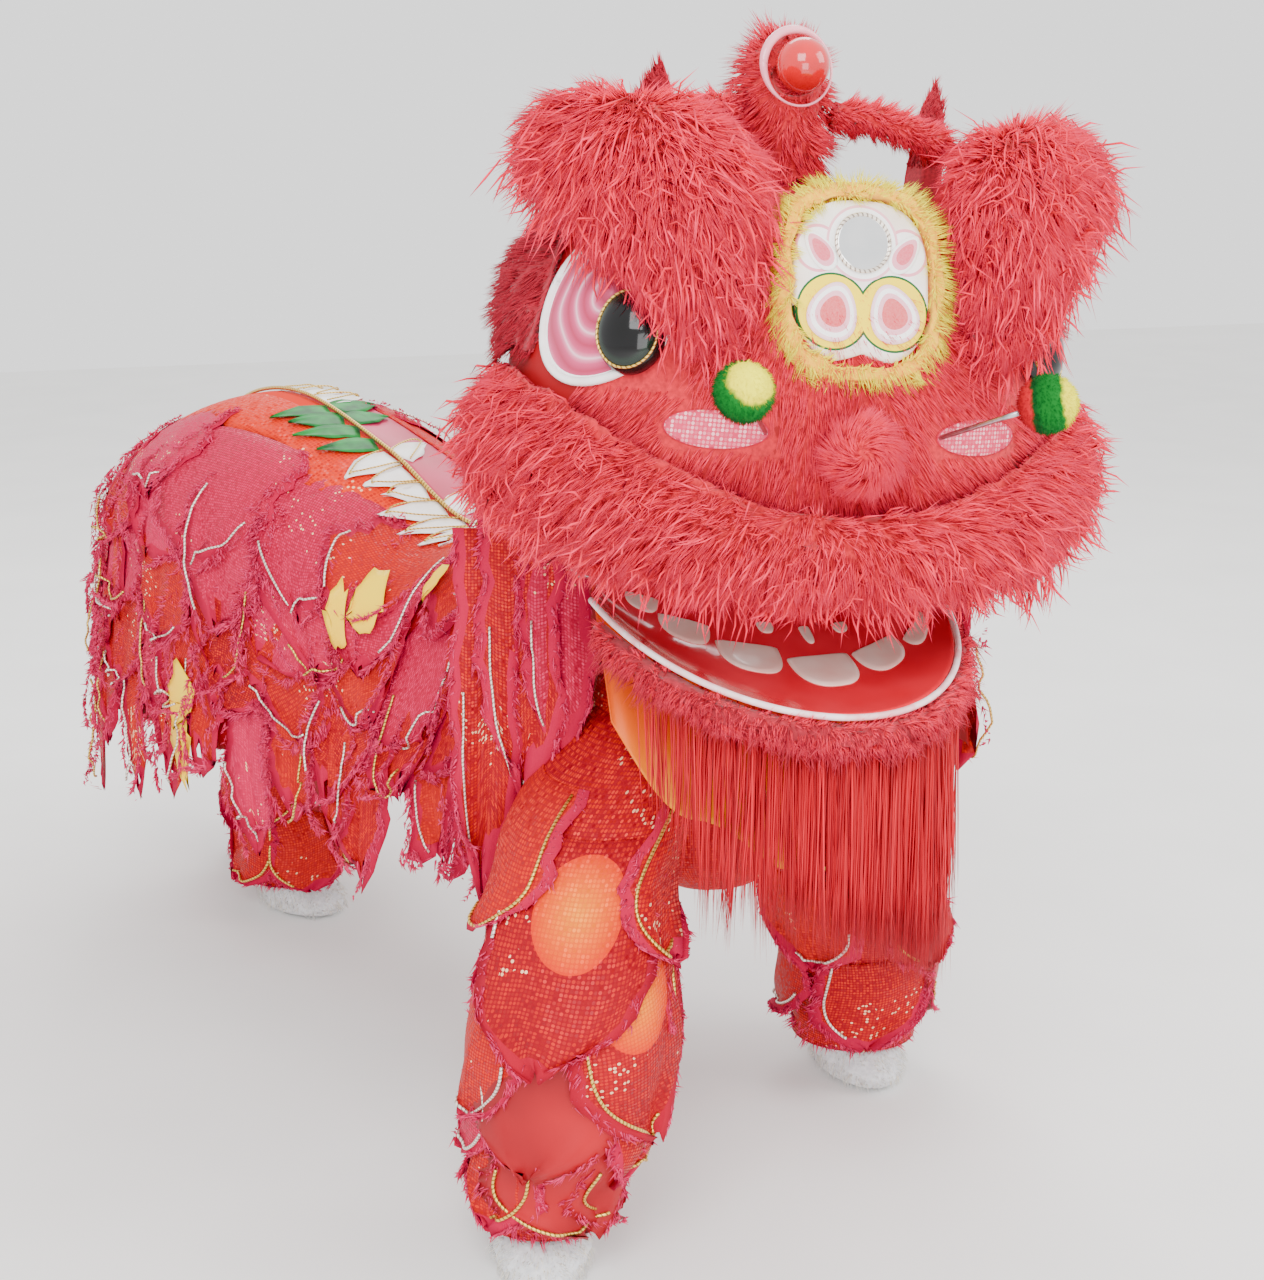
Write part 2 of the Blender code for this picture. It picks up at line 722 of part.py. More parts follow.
def build_horn(head, paints, core):
    bulb = ball("horn_bulb", BULB_CENTRE, BULB_RADIUS, paints["bulb"], head)
    facing = Vector((0.10, -1.0, 0.25)).normalized()
    across = facing.cross(Vector((0, 0, 1))).normalized()
    up = across.cross(facing)
    middle = BULB_CENTRE - facing * 0.014
    rings = []
    for j in range(14):
        angle = 2 * math.pi * j / 14
        out = across * math.cos(angle) + up * math.sin(angle)
        rings.append(circle(middle + out * RIM_RADIUS, out * RIM_TUBE, facing * RIM_TUBE, 5))
    rim = torus("horn_rim", rings, paints["pink"], head)
    layers = []
    for z, y, radius in HORN:
        layers.append(circle(Vector((HORN_X, y, z)), Vector((radius, 0, 0)), Vector((0, radius, 0)), 8))
    horn = loft("horn", layers, paints["fur"], head)
    comb(horn, 0.018, Vector((0, 0, 0.8)), 31)
    carve(horn, core, swollen(bulb, GAP * 2), swollen(rim, GAP * 2))
    return horn


def build_boa(name, side, head, fur, cutters):
    path = mirrored([spline(BOA, i * (len(BOA) - 1) / 5) for i in range(6)], side)
    boa = tube(name, path, [(BOA_RADIUS, BOA_RADIUS)] * 6, 7, fur, head)
    comb(boa, 0.012, Vector((side, 0, -0.3)), 41 + side)
    carve(boa, *cutters)
    return boa


def build_ear(name, side, head, felt, cutters):
    axis = EAR_TIP - EAR_FOOT
    across = Vector((1, 0.35, 0)).normalized()
    near, far = [], []
    for i in range(7):
        share = i / 6
        half = EAR_HALF * (1 - share) ** 0.6 * (0.75 + 0.5 * share) + 0.002
        middle = EAR_FOOT + axis * share
        row = [middle + across * half * j for j in (-1, 0, 1)]
        row[1] = row[1] + Vector((0, 0.012 * (1 - share), 0))
        near.append(mirrored(row, side))
        far.append(mirrored([p + Vector((0, FELT, 0)) for p in row], side))
    ear = sheet(name, near, far, felt, head)
    carve(ear, *cutters)
    return ear


def jaw_rim(place):
    """The rim of the lower jaw; place runs from -1 at the lion's right to 1 at its left."""
    angle = place * JAW_SWEEP
    y = HINGE.y - JAW_LONG * math.cos(angle)
    return Vector((JAW_HALF * math.sin(angle), y, HINGE.z - JAW_DROP * math.cos(angle)))


def jaw_floor(place, share):
    """The tray's upper face, from its straight rear edge to its rim."""
    rear = Vector((0.205 * place, HINGE.y - HINGE_ROD - GAP, HINGE.z))
    rim = jaw_rim(place)
    dish = JAW_DISH * math.sin(math.pi * share) * (1 - place**2) ** 0.5
    return rear.lerp(rim, share) - Vector((0, 0, dish))


def build_jaw(hinge, paints):
    places = [-1 + i / 6 for i in range(13)]
    near = [[jaw_floor(place, j / 4) for place in places] for j in range(5)]
    far = [[point - Vector((0, 0, FELT)) for point in row] for row in near]
    tray = sheet("jaw_tray", near, far, paints["gloss"], hinge)
    ends = [-0.97 + 1.94 * i / 16 for i in range(17)]
    outward = [Vector((math.sin(p * JAW_SWEEP), -math.cos(p * JAW_SWEEP), 0)) for p in ends]
    offset = JAW_PIPING + GAP * 6
    path = [jaw_rim(p) + out * offset - Vector((0, 0, FELT / 2)) for p, out in zip(ends, outward)]
    piping = tube("jaw_piping", path, [(JAW_PIPING, JAW_PIPING)] * 17, 6, paints["piping"], hinge)
    path, radii = [], []
    for i in range(10):
        place = -0.93 + 1.86 * i / 9
        out = Vector((math.sin(place * JAW_SWEEP), -math.cos(place * JAW_SWEEP), 0))
        size = JAW_FUR * (1 - 0.45 * abs(place) ** 6)
        path.append(jaw_rim(place) + out * 0.006 - Vector((0, 0, 0.022)))
        radii.append((size, size))
    fur = tube("jaw_fur", path, radii, 6, paints["crimson"], hinge)
    comb(fur, 0.013, Vector((0, 0, -1)), 51, Vector((0, 0, -0.1)))
    carve(fur, swollen(tray, GAP * 2), swollen(piping, GAP * 2))
    build_beard(hinge, paints["hair"], fur, tray)
    return tray


def build_beard(hinge, hair, fur, tray):
    """A curtain of long hair in locks under the jaw, hanging straight down in the world."""
    down = Matrix.Rotation(-TILT, 3, "Y") @ Vector((0, 0, -1))
    columns = 21
    near, far = [], []
    for i in range(4):
        outer, inner = [], []
        for j in range(columns):
            place = -1 + 2 * j / (columns - 1)
            angle = place * JAW_SWEEP * BEARD_SPAN
            out = Vector((math.sin(angle), -math.cos(angle), 0))
            lock = 1 if j % 2 else -1
            long = read(BEARD, place)[0] - BEARD_TOP + (0.022 if j % 2 else -0.022) * (i == 3)
            top = jaw_rim(place * BEARD_SPAN) - out * 0.004 + down * BEARD_TOP
            share = i / 3
            thick = BEARD_THICK * (1 - 0.7 * share) / 2
            middle = top + down * long * share + out * 0.004 * lock * min(1, 3 * share)
            outer.append(middle + out * thick)
            inner.append(middle - out * thick)
        near.append(outer)
        far.append(inner)
    beard = sheet("beard", near, far, hair, hinge)
    carve(beard, swollen(fur, FUR_GAP), swollen(tray, GAP * 2))


def build_hanger(head, wire, shell):
    """The rod that the jaw turns on, with an end bent up at each side to the shell's wall."""
    corners = [(-0.315, -0.115), (-HINGE_HALF - 0.006, -0.176), (-HINGE_HALF, HINGE.z)]
    corners += [(-x, z) for x, z in reversed(corners)]
    path = [Vector((x, HINGE.y, z)) for x, z in corners]
    size = [(HINGE_ROD, HINGE_ROD)] * len(path)
    hanger = tube("jaw_hanger", path, size, 10, wire, head, upright=Vector((0, 1, 0)))
    carve(hanger, shell)


def cape_point(station, t):
    """A point of the body cloth: station counts rows from the head, t runs -1 to 1 between the hems."""
    x, y, ridge, half, drop, hem_half, hem, heading = spline(CAPE, station)
    aside = Vector((math.cos(math.radians(heading)), math.sin(math.radians(heading)), 0))
    u = abs(t)
    if u < SHOULDER:
        angle = math.pi / 2 * u / SHOULDER
        wide, z = half * math.sin(angle), ridge - drop * (1 - math.cos(angle))
    else:
        share = (u - SHOULDER) / (1 - SHOULDER)
        fold = FOLD_DEEP * share * math.sin(2 * math.pi * FOLDS * station / (len(CAPE) - 1))
        wide = half + (hem_half - half) * share + fold
        z = ridge - drop + (hem - ridge + drop) * share
    return Vector((x, y, z)) + aside * math.copysign(wide, t)


def cape_grid():
    """Points of the body cloth and the directions that look out of them, by station and round."""
    stations = [i * (len(CAPE) - 1) / (CAPE_STATIONS - 1) for i in range(CAPE_STATIONS)]
    points = [[cape_point(at, j / CAPE_ROUNDS) for j in range(-CAPE_ROUNDS, CAPE_ROUNDS + 1)]
              for at in stations]
    looks = []
    for i in range(CAPE_STATIONS):
        row = []
        for j in range(2 * CAPE_ROUNDS + 1):
            along = points[min(i + 1, CAPE_STATIONS - 1)][j] - points[max(i - 1, 0)][j]
            across = points[i][min(j + 1, 2 * CAPE_ROUNDS)] - points[i][max(j - 1, 0)]
            row.append(across.cross(along).normalized())
        looks.append(row)
    return points, looks


def over_cape(grid, i, k, out):
    """A point over the body cloth at a station and a round, k counted from the ridge; k may be a fraction."""
    points, looks = grid
    low = math.floor(k)
    low = min(low, CAPE_ROUNDS - 1)
    share = k - low
    a, b = CAPE_ROUNDS + low, CAPE_ROUNDS + low + 1
    return points[i][a].lerp(points[i][b], share) + looks[i][a].lerp(looks[i][b], share) * out


def build_cape(grid, cloth, cutters):
    rounds = range(-CAPE_ROUNDS, CAPE_ROUNDS + 1)
    near = [[over_cape(grid, i, k, 0) for k in rounds] for i in range(CAPE_STATIONS)]
    far = [[over_cape(grid, i, k, -CLOTH) for k in rounds] for i in range(CAPE_STATIONS)]
    cape = sheet("cape_cloth", near, far, cloth)
    carve(cape, *cutters)
    return cape


def build_flaps(name, side, row, grid, cloth, cutters):
    """One row of pointed flaps along a flank, sewn on at its top and standing off at its foot."""
    top, foot, hang, rise, first = row
    levels = [(k, 0.0) for k in range(top, foot + 1)] + ([(foot, hang)] if hang else [])
    near, far = [], []
    for k, lower in levels:
        outer, inner = [], []
        for i in range(first, CAPE_STATIONS - 1):
            point = (i - first) % 2
            place = k + (point * FLAP_POINT if k == foot and not hang else 0)
            stand = SEAM_STAND if k == top else FLAP_STAND + rise * (place - top)
            drop = Vector((0, 0, -lower * (0.30 + 0.70 * point)))
            outer.append(over_cape(grid, i, side * place, stand + CLOTH) + drop)
            inner.append(over_cape(grid, i, side * place, stand) + drop)
        near.append(outer)
        far.append(inner)
    flaps = sheet(name, near, far, cloth)
    carve(flaps, *cutters)
    return flaps


def build_spine(grid, cloth, cutters):
    """The flame strip along the back, with a toothed edge on each side."""
    near, far = [], []
    for i in range(SPINE_FIRST, CAPE_STATIONS - 2):
        half = SPINE_WIDE if i % 2 else SPINE_NARROW
        near.append([over_cape(grid, i, half * j, SPINE_STAND + CLOTH) for j in (-1, 0, 1)])
        far.append([over_cape(grid, i, half * j, SPINE_STAND) for j in (-1, 0, 1)])
    strip = sheet("cape_spine", near, far, cloth)
    carve(strip, *cutters)


def build_bib(satin, cutters):
    """The satin panel behind the jaw, sewn to the rod that the jaw turns on."""
    rod = Matrix.Rotation(TILT, 3, "Y") @ HINGE
    near, far = [], []
    count = 13
    for i in range(4):
        share = i / 3
        outer, inner = [], []
        for j in range(count):
            x, foot = spline(BIB, j * (len(BIB) - 1) / (count - 1))
            top = rod.z - (x - rod.x) * math.tan(TILT) - HINGE_ROD - BIB_SEAM
            drop = (top - foot) * share
            fold = 0.006 * math.sin(j * 1.9) * share
            point = Vector((x, rod.y - BIB_LEAN * drop + fold, top - drop))
            outer.append(point)
            inner.append(point + Vector((0, CLOTH, 0)))
        near.append(outer)
        far.append(inner)
    bib = sheet("chest_bib", near, far, satin)
    carve(bib, *cutters)


def leg_rings(rows, shrink, ruffled):
    """Rings down a leg; the outer ones swell into ragged tiers, the inner ones stay round."""
    rings = []
    for i in range(LEG_RINGS):
        z, x, y, radius = spline(rows, i * (len(rows) - 1) / (LEG_RINGS - 1))
        wave = RUFFLE if ruffled else 0.0
        ring = []
        for j in range(LEG_SIDES):
            angle = 2 * math.pi * j / LEG_SIDES
            rim = radius - shrink + wave * (1 if (i + j) % 2 else 0.2)
            ring.append(Vector((x + rim * math.cos(angle), y + rim * math.sin(angle), z)))
        rings.append(ring)
    return rings


def seat_rings(rows, shrink, extra):
    rings = []
    for i, (z, x, y, wide, deep) in enumerate(rows):
        across, up = Vector((wide - shrink, 0, 0)), Vector((0, deep - shrink, 0))
        rings.append(circle(Vector((x, y, z + extra * (i == 0) + shrink * (i == len(rows) - 1))),
                            across, up, LEG_SIDES))
    return rings


def build_trousers(name, seat, legs, cloth):
    """Seat and two legs as one body, hollow, open at the waist and at both ankles."""
    trousers = loft(name, seat_rings(seat, 0.0, 0.0), cloth)
    hollow = loft(name + "_hollow", seat_rings(seat, LEG_WALL, 0.02), cloth, helper=True)
    for i, rows in enumerate(legs):
        leg = loft(f"{name}_leg_{i}", leg_rings(rows, 0.0, True), cloth, helper=True)
        boolean(trousers, leg, "UNION")
        inside = loft(f"{name}_inside_{i}", leg_rings(rows, LEG_WALL, False), cloth, helper=True)
        stretch_ends(inside)
        boolean(hollow, inside, "UNION")
    boolean(trousers, hollow, "DIFFERENCE")
    drop_crumbs(trousers)
    return trousers


def stretch_ends(made):
    """Lets the core of a leg's hollow run out through the ankle and on into the seat's hollow."""
    heights = [vert.co.z for vert in made.data.vertices]
    for vert in made.data.vertices:
        if vert.co.z < min(heights) + 0.001:
            vert.co.z -= 0.02
        elif vert.co.z > max(heights) - 0.001:
            vert.co.z += 0.01


def build_paw(name, ankle, facing, fur):
    """A fur cover on the foot, from the floor up to the trouser's hem, its toe forward."""
    z, x, y, radius = ankle
    neck = radius - PAW_INSET
    ahead = Vector((math.sin(facing), -math.cos(facing), 0))
    across = Vector((ahead.y, -ahead.x, 0))
    rings = []
    for height, wide, long, toe in PAW_LAYERS:
        middle = Vector((x, y, FLOOR + height)) + ahead * toe
        rings.append(circle(middle, across * wide, ahead * long, 12))
    rings.append(circle(Vector((x, y, FLOOR + PAW_TOP)), across * neck, ahead * neck, 12))
    paw = loft(name, rings, fur)
    shape = bmesh.new()
    shape.from_mesh(paw.data)
    shape.normal_update()
    sides = [face for face in shape.faces
             if abs(face.normal.z) < 0.9 and face.calc_center_median().z < FLOOR + PAW_LAYERS[-1][0]]
    poked = bmesh.ops.poke(shape, faces=sides)
    shape.normal_update()
    for vert in poked["verts"]:
        vert.co += Vector((vert.normal.x, vert.normal.y, 0)) * 0.010
    shape.to_mesh(paw.data)
    shape.free()
    return paw


def strap(name, path, cloth, cutters):
    """A flat strap along a path in a plane of constant x."""
    near, far = [], []
    for i, point in enumerate(path):
        ahead = (path[min(i + 1, len(path) - 1)] - path[max(i - 1, 0)]).normalized()
        normal = ahead.cross(Vector((1, 0, 0))).normalized()
        row = [point + Vector((BRACE_HALF * j, 0, 0)) for j in (-1, 1)]
        near.append(row)
        far.append([p + normal * CLOTH for p in row])
    made = sheet(name, near, far, cloth)
    carve(made, *cutters)


def build_braces(cloth, bar, front, hind, cape):
    """Straps that hold up the trousers: over the carrying bar in front, from the cloth behind."""
    for name, x in (("brace_front_R", -0.085), ("brace_front_L", 0.070)):
        loop = BAR_RADIUS + BRACE_LOOP
        rise = -x * math.tan(TILT)
        path = [Vector((x, -loop * math.cos(a), rise + loop * math.sin(a)))
                for a in (0, 0.25 * math.pi, 0.5 * math.pi, 0.75 * math.pi, math.pi)]
        path += [Vector((x, 0.100, -0.125)), Vector((x, 0.222, -0.300))]
        strap(name, path, cloth, (bar, front))
    for name, x in (("brace_hind_R", -0.570), ("brace_hind_L", -0.460)):
        path = [Vector((x, 1.140, -0.340)), Vector((x, 1.150, -0.250)), Vector((x, 1.165, 0.020))]
        strap(name, path, cloth, (cape, hind))


def main():
    clear()
    paints = {
        "red": paint("shell_red", "B01C26", 0.7),
        "fur": paint("red_fur", "E8343C", 0.9),
        "crimson": paint("crimson_fur", "B5122E", 0.9),
        "hair": paint("beard_hair", "E01F2C", 0.6),
        "yellow_fur": paint("yellow_fur", "F2B40F", 0.9),
        "cream": paint("plate_cream", "F0E4DC", 0.6),
        "petal": paint("petal_red", "D8404C", 0.5),
        "mirror": paint("mirror_glass", "E6E8EA", 0.05, 1.0),
        "bulb": paint("bulb_red", "D8202C", 0.3),
        "pink": paint("rim_pink", "F0909C", 0.4),
        "socket": paint("eye_socket_pink", "D87C94", 0.5),
        "eye": paint("eyeball_black", "141414", 0.2),
        "green": paint("pompom_green", "12823F", 0.9),
        "sequins": paint("sequin_mesh", "C83048", 0.35, 0.3),
        "steel": paint("rod_silver", "B8B8B8", 0.35, 1.0),
        "wire": paint("hanger_wire", "7A7C80", 0.4, 1.0),
        "wood": paint("bar_bamboo", "B08A54", 0.6),
        "gloss": paint("jaw_gloss_red", "E02830", 0.25),
        "piping": paint("white_piping", "F4E4E4", 0.5),
        "cloth": paint("cape_cloth", "D42038", 0.6),
        "flap": paint("flap_cloth", "B81434", 0.6),
        "flame": paint("flame_green", "1C9A52", 0.5),
        "satin": paint("bib_satin", "F08A10", 0.4),
        "trouser": paint("trouser_cloth", "C41A2C", 0.6),
        "paw": paint("paw_fur", "D8D6D4", 0.9),
        "strap": paint("brace_webbing", "8E1420", 0.8),
    }
    head = empty("head_axis", (0, 0, 0))
    head.rotation_euler = (0, TILT, 0)
    hinge = empty("jaw_hinge", HINGE, head)
    bpy.context.view_layer.update()
    build_costume(head, hinge, paints)
    for helper in HELPERS:
        bpy.data.objects.remove(helper)


def build_costume(head, hinge, paints):
    core = swollen(build_core(head, paints["red"]), 2 * GAP)
    shell = build_shell(head, paints["red"])
    shell_gap = swollen(shell, GAP)
    bar = build_bar(head, paints["wood"], shell_gap)
    build_hanger(head, paints["wire"], shell_gap)
    build_jaw(hinge, paints)
    face = build_face(head, paints, core)
    build_crown(head, paints, core, face)
    grid = cape_grid()
    cape = build_cape(grid, paints["cloth"], [core, *face["fur"]])
    front = build_trousers("front_trousers", FRONT_SEAT, (FRONT_R, FRONT_L), paints["trouser"])
    hind = build_trousers("hind_trousers", HIND_SEAT, (HIND_R, HIND_L), paints["trouser"])
    for side, letter in ((-1, "R"), (1, "L")):
        for number, row in enumerate(FLAP_ROWS, 1):
            name = f"cape_flaps_{letter}{number}"
            build_flaps(name, side, row, grid, paints["flap"], [core, *face["fur"]])
    build_spine(grid, paints["flame"], [core, *face["fur"]])
    build_bib(paints["satin"], [shell_gap])
    for name, legs, facing in (
        ("paw_front_R", FRONT_R, -0.25),
        ("paw_front_L", FRONT_L, 0.10),
        ("paw_hind_R", HIND_R, 0.60),
        ("paw_hind_L", HIND_L, 0.30),
    ):
        build_paw(name, legs[-1], facing, paints["paw"])
    gaps = [swollen(piece, GAP * 2) for piece in (bar, front, hind, cape)]
    build_braces(paints["strap"], *gaps)


def build_face(head, paints, core):
    """Muzzle, brow pads, cheeks, eyes, pompoms and nose; returns the swollen forms that cut others."""
    pompoms = []
    for side, letter in ((-1, "R"), (1, "L")):
        centre = mirrored([POMPOM_CENTRE], side)[0]
        pompom = ball("pompom_" + letter, centre, POMPOM_RADIUS, paints["green"], head)
        pompoms.append(swollen(pompom, GAP * 2))
    muzzle = build_muzzle(head, paints["fur"], core)
    nose = ball("nose", NOSE_CENTRE, NOSE_RADIUS, paints["fur"], head, rings=6, sides=12)
    comb(nose, 0.010, Vector((0, 0, -1)), 61)
    muzzle_gap = swollen(muzzle, FUR_GAP)
    carve(nose, core, muzzle_gap)
    nose_gap = swollen(nose, FUR_GAP)
    brows, furs = [], [muzzle_gap]
    for side, letter in ((-1, "R"), (1, "L")):
        cutters = [core, muzzle_gap, nose_gap, *pompoms]
        brow = build_brow("brow_fur_" + letter, side, head, paints["fur"], cutters)
        brow_gap = swollen(brow, FUR_GAP)
        brows.append(brow_gap)
        cheek = lens("cheek_fur_" + letter, CHEEK, side, CHEEK_RISE, 0.006, paints["crimson"], head)
        comb(cheek, 0.014, Vector((0, 0.6, -0.6)), 71 + side, Vector((0, 0, 0.15)))
        carve(cheek, core, muzzle_gap, brow_gap)
        cheek_gap = swollen(cheek, FUR_GAP)
        furs.append(cheek_gap)
        panel = lens("eye_panel_" + letter, EYE, side, EYE_RISE, EYE_RISE * 0.8, paints["socket"], head)
        carve(panel, core, muzzle_gap, brow_gap, cheek_gap)
        lift = EYE_RISE + 2 * GAP
        eyeball = lens("eyeball_" + letter, EYEBALL, side, EYEBALL_RISE, 0.003, paints["eye"], head, lift=lift)
        carve(eyeball, swollen(panel, GAP), brow_gap, muzzle_gap)
        patch = lens("nose_patch_" + letter, PATCH, side, PATCH_RISE, PATCH_RISE * 0.8, paints["sequins"], head)
        carve(patch, core, muzzle_gap, brow_gap, nose_gap)
        foot = mirrored([ROD_FOOT], side)[0]
        centre = mirrored([POMPOM_CENTRE], side)[0]
        size = [(ROD_RADIUS, ROD_RADIUS)] * 2
        rod = tube("pompom_rod_" + letter, [foot, centre], size, 10, paints["steel"], head)
        carve(rod, core, swollen(patch, GAP), *pompoms)
        rod_gap = swollen(rod, GAP * 2)
        carve(brow, rod_gap)
        carve(muzzle, rod_gap)
    return {"brows": brows, "fur": furs}


def build_crown(head, paints, core, face):
    """Forehead plate, horn, boa and ears."""
    build_plate(head, paints, core, face["brows"])
    horn_gap = swollen(build_horn(head, paints, core), FUR_GAP)
    for side, letter, brow in ((-1, "R", face["brows"][0]), (1, "L", face["brows"][1])):
        boa = build_boa("boa_" + letter, side, head, paints["fur"], [core, horn_gap, brow])
        boa_gap = swollen(boa, FUR_GAP)
        build_ear("ear_" + letter, side, head, paints["crimson"], [core, brow, boa_gap])


main()
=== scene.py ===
"""Lion dance costume: how it looks, piece by piece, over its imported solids.

Metres, +Z up. The head faces -Y and leans to the lion's left; the body cloth trails towards +Y.
"""
import math

import bmesh
import bpy
import numpy as np
from mathutils import Matrix, Vector
from mathutils.bvhtree import BVHTree
from mathutils.kdtree import KDTree


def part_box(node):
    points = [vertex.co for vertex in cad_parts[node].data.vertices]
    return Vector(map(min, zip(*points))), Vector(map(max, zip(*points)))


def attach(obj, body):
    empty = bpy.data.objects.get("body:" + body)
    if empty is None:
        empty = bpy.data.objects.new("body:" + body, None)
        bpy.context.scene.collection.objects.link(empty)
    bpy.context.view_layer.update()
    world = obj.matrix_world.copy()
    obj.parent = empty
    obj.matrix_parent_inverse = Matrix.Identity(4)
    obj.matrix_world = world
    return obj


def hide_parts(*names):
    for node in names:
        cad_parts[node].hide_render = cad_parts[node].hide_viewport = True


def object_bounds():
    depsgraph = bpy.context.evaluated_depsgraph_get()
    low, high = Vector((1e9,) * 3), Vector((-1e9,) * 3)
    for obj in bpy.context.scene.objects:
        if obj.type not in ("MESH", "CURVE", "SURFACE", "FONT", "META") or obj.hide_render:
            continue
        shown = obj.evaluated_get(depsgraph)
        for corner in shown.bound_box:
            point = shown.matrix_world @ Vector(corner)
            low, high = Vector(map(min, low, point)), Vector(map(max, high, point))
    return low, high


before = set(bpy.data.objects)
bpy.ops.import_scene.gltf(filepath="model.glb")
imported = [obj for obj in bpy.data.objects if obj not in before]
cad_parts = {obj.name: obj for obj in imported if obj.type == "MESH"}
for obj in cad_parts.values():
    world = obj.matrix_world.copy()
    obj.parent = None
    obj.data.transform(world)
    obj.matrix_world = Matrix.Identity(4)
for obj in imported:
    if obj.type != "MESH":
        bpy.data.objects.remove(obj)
cad_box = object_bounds()

# Studio: a pale floor under the paw covers, a pale surround, and large soft lights. The camera
# stands where the photograph was taken, in front of the lion's right shoulder at eye height.
FLOOR = -1.02


def tone(code):
    """Six sRGB hex digits as a linear colour."""
    parts = [int(code[i:i + 2], 16) / 255 for i in (0, 2, 4)]
    return tuple(p / 12.92 if p <= 0.04045 else ((p + 0.055) / 1.055) ** 2.4 for p in parts) + (1.0,)


def node(tree, kind, values=None, **settings):
    """Adds a shader node, sets its properties, then fills its sockets with values or with other sockets."""
    made = tree.nodes.new(kind)
    for name, value in settings.items():
        setattr(made, name, value)
    for key, value in (values or {}).items():
        if isinstance(value, bpy.types.NodeSocket):
            tree.links.new(value, made.inputs[key])
        else:
            made.inputs[key].default_value = value
    return made


def finish_of(name, roughness=0.6, **sockets):
    """A new material with its shader and its node tree."""
    material = bpy.data.materials.new(name)
    material.use_nodes = True
    tree = material.node_tree
    shader = tree.nodes["Principled BSDF"]
    shader.inputs["Roughness"].default_value = roughness
    for key, value in sockets.items():
        shader.inputs[key.replace("_", " ")].default_value = value
    return material, tree, shader


def ramp(tree, factor, stops):
    """Colours along a factor; stops are (place, hex)."""
    made = node(tree, "ShaderNodeValToRGB", {0: factor})
    band = made.color_ramp
    for place, code in stops[2:]:
        band.elements.new(place)
    for element, (place, code) in zip(band.elements, stops):
        element.position = place
        element.color = tone(code)
    return made.outputs[0]


def blend(tree, share, one, two):
    """One colour, or two where the share is 1."""
    made = node(tree, "ShaderNodeMix", {0: share, 6: one, 7: two}, data_type="RGBA")
    return made.outputs[2]


def maths(tree, operation, *values, clamp=False):
    made = node(tree, "ShaderNodeMath", dict(enumerate(values)), operation=operation, use_clamp=clamp)
    return made.outputs[0]


def vector_maths(tree, operation, *values, output="Vector"):
    made = node(tree, "ShaderNodeVectorMath", dict(enumerate(values)), operation=operation)
    return made.outputs[output]


def uv_of(tree, name):
    return node(tree, "ShaderNodeUVMap", uv_map=name).outputs[0]


def strand_of(tree):
    """The parts of a piece's strand UV map; what they are depends on the piece."""
    return node(tree, "ShaderNodeSeparateXYZ", {0: uv_of(tree, "strand")})


def colour_by(tree, shader, factor, stops):
    """Colours a shader along a factor."""
    tree.links.new(ramp(tree, factor, stops), shader.inputs["Base Color"])


def relief(tree, shader, height, strength, distance):
    bump = node(tree, "ShaderNodeBump", {"Height": height, "Strength": strength, "Distance": distance})
    tree.links.new(bump.outputs[0], shader.inputs["Normal"])


def noise(tree, scale, detail=2.0):
    """A noise over the piece's own coordinates."""
    where = node(tree, "ShaderNodeTexCoord").outputs["Object"]
    return node(tree, "ShaderNodeTexNoise", {"Vector": where, "Scale": scale, "Detail": detail}).outputs[0]


def deselect():
    if bpy.context.mode != "OBJECT":
        bpy.ops.object.mode_set(mode="OBJECT")
    bpy.ops.object.select_all(action="DESELECT")


deselect()
bpy.ops.mesh.primitive_plane_add(size=16, location=(0, 0, FLOOR))
floor = bpy.context.active_object
floor.name = "studio_floor"
paper, tree, shader = finish_of("pale_paper", 0.9)
colour_by(tree, shader, noise(tree, 3.0), [(0.3, "EFEEEC"), (0.7, "F4F3F1")])
floor.data.materials.append(paper)

LIGHTS_AT = Vector((-0.1, 0.2, -0.3))
world = bpy.data.worlds.new("studio_air")
world.use_nodes = True
world.node_tree.nodes["Background"].inputs[0].default_value = (1, 1, 1, 1)
world.node_tree.nodes["Background"].inputs[1].default_value = 1.6
bpy.context.scene.world = world
for name, place, size, power in (
    ("key_light", (-1.6, -3.0, 2.6), 2.2, 165),
    ("low_light", (-0.6, -3.4, 0.1), 1.6, 50),
    ("side_light", (3.0, -1.2, 1.8), 2.0, 80),
    ("back_light", (0.6, 3.4, 2.6), 2.4, 85),
):
    lamp = bpy.data.lights.new(name, "AREA")
    lamp.size = size
    lamp.energy = power
    holder = bpy.data.objects.new(name, lamp)
    holder.location = place
    holder.rotation_euler = (LIGHTS_AT - Vector(place)).to_track_quat("-Z", "Y").to_euler()
    bpy.context.scene.collection.objects.link(holder)

CAMERA_AT = (-0.870, -2.390, 0.460)
CAMERA_TURN = math.radians(-15.875)
CAMERA_DIP = math.radians(15.8)
view = bpy.data.cameras.new("photo_view")
view.lens = 58.5
view.sensor_width = 36.0
camera = bpy.data.objects.new("photo_view", view)
camera.location = CAMERA_AT
camera.rotation_euler = (math.pi / 2 - CAMERA_DIP, 0, CAMERA_TURN)
bpy.context.scene.collection.objects.link(camera)
bpy.context.scene.camera = camera

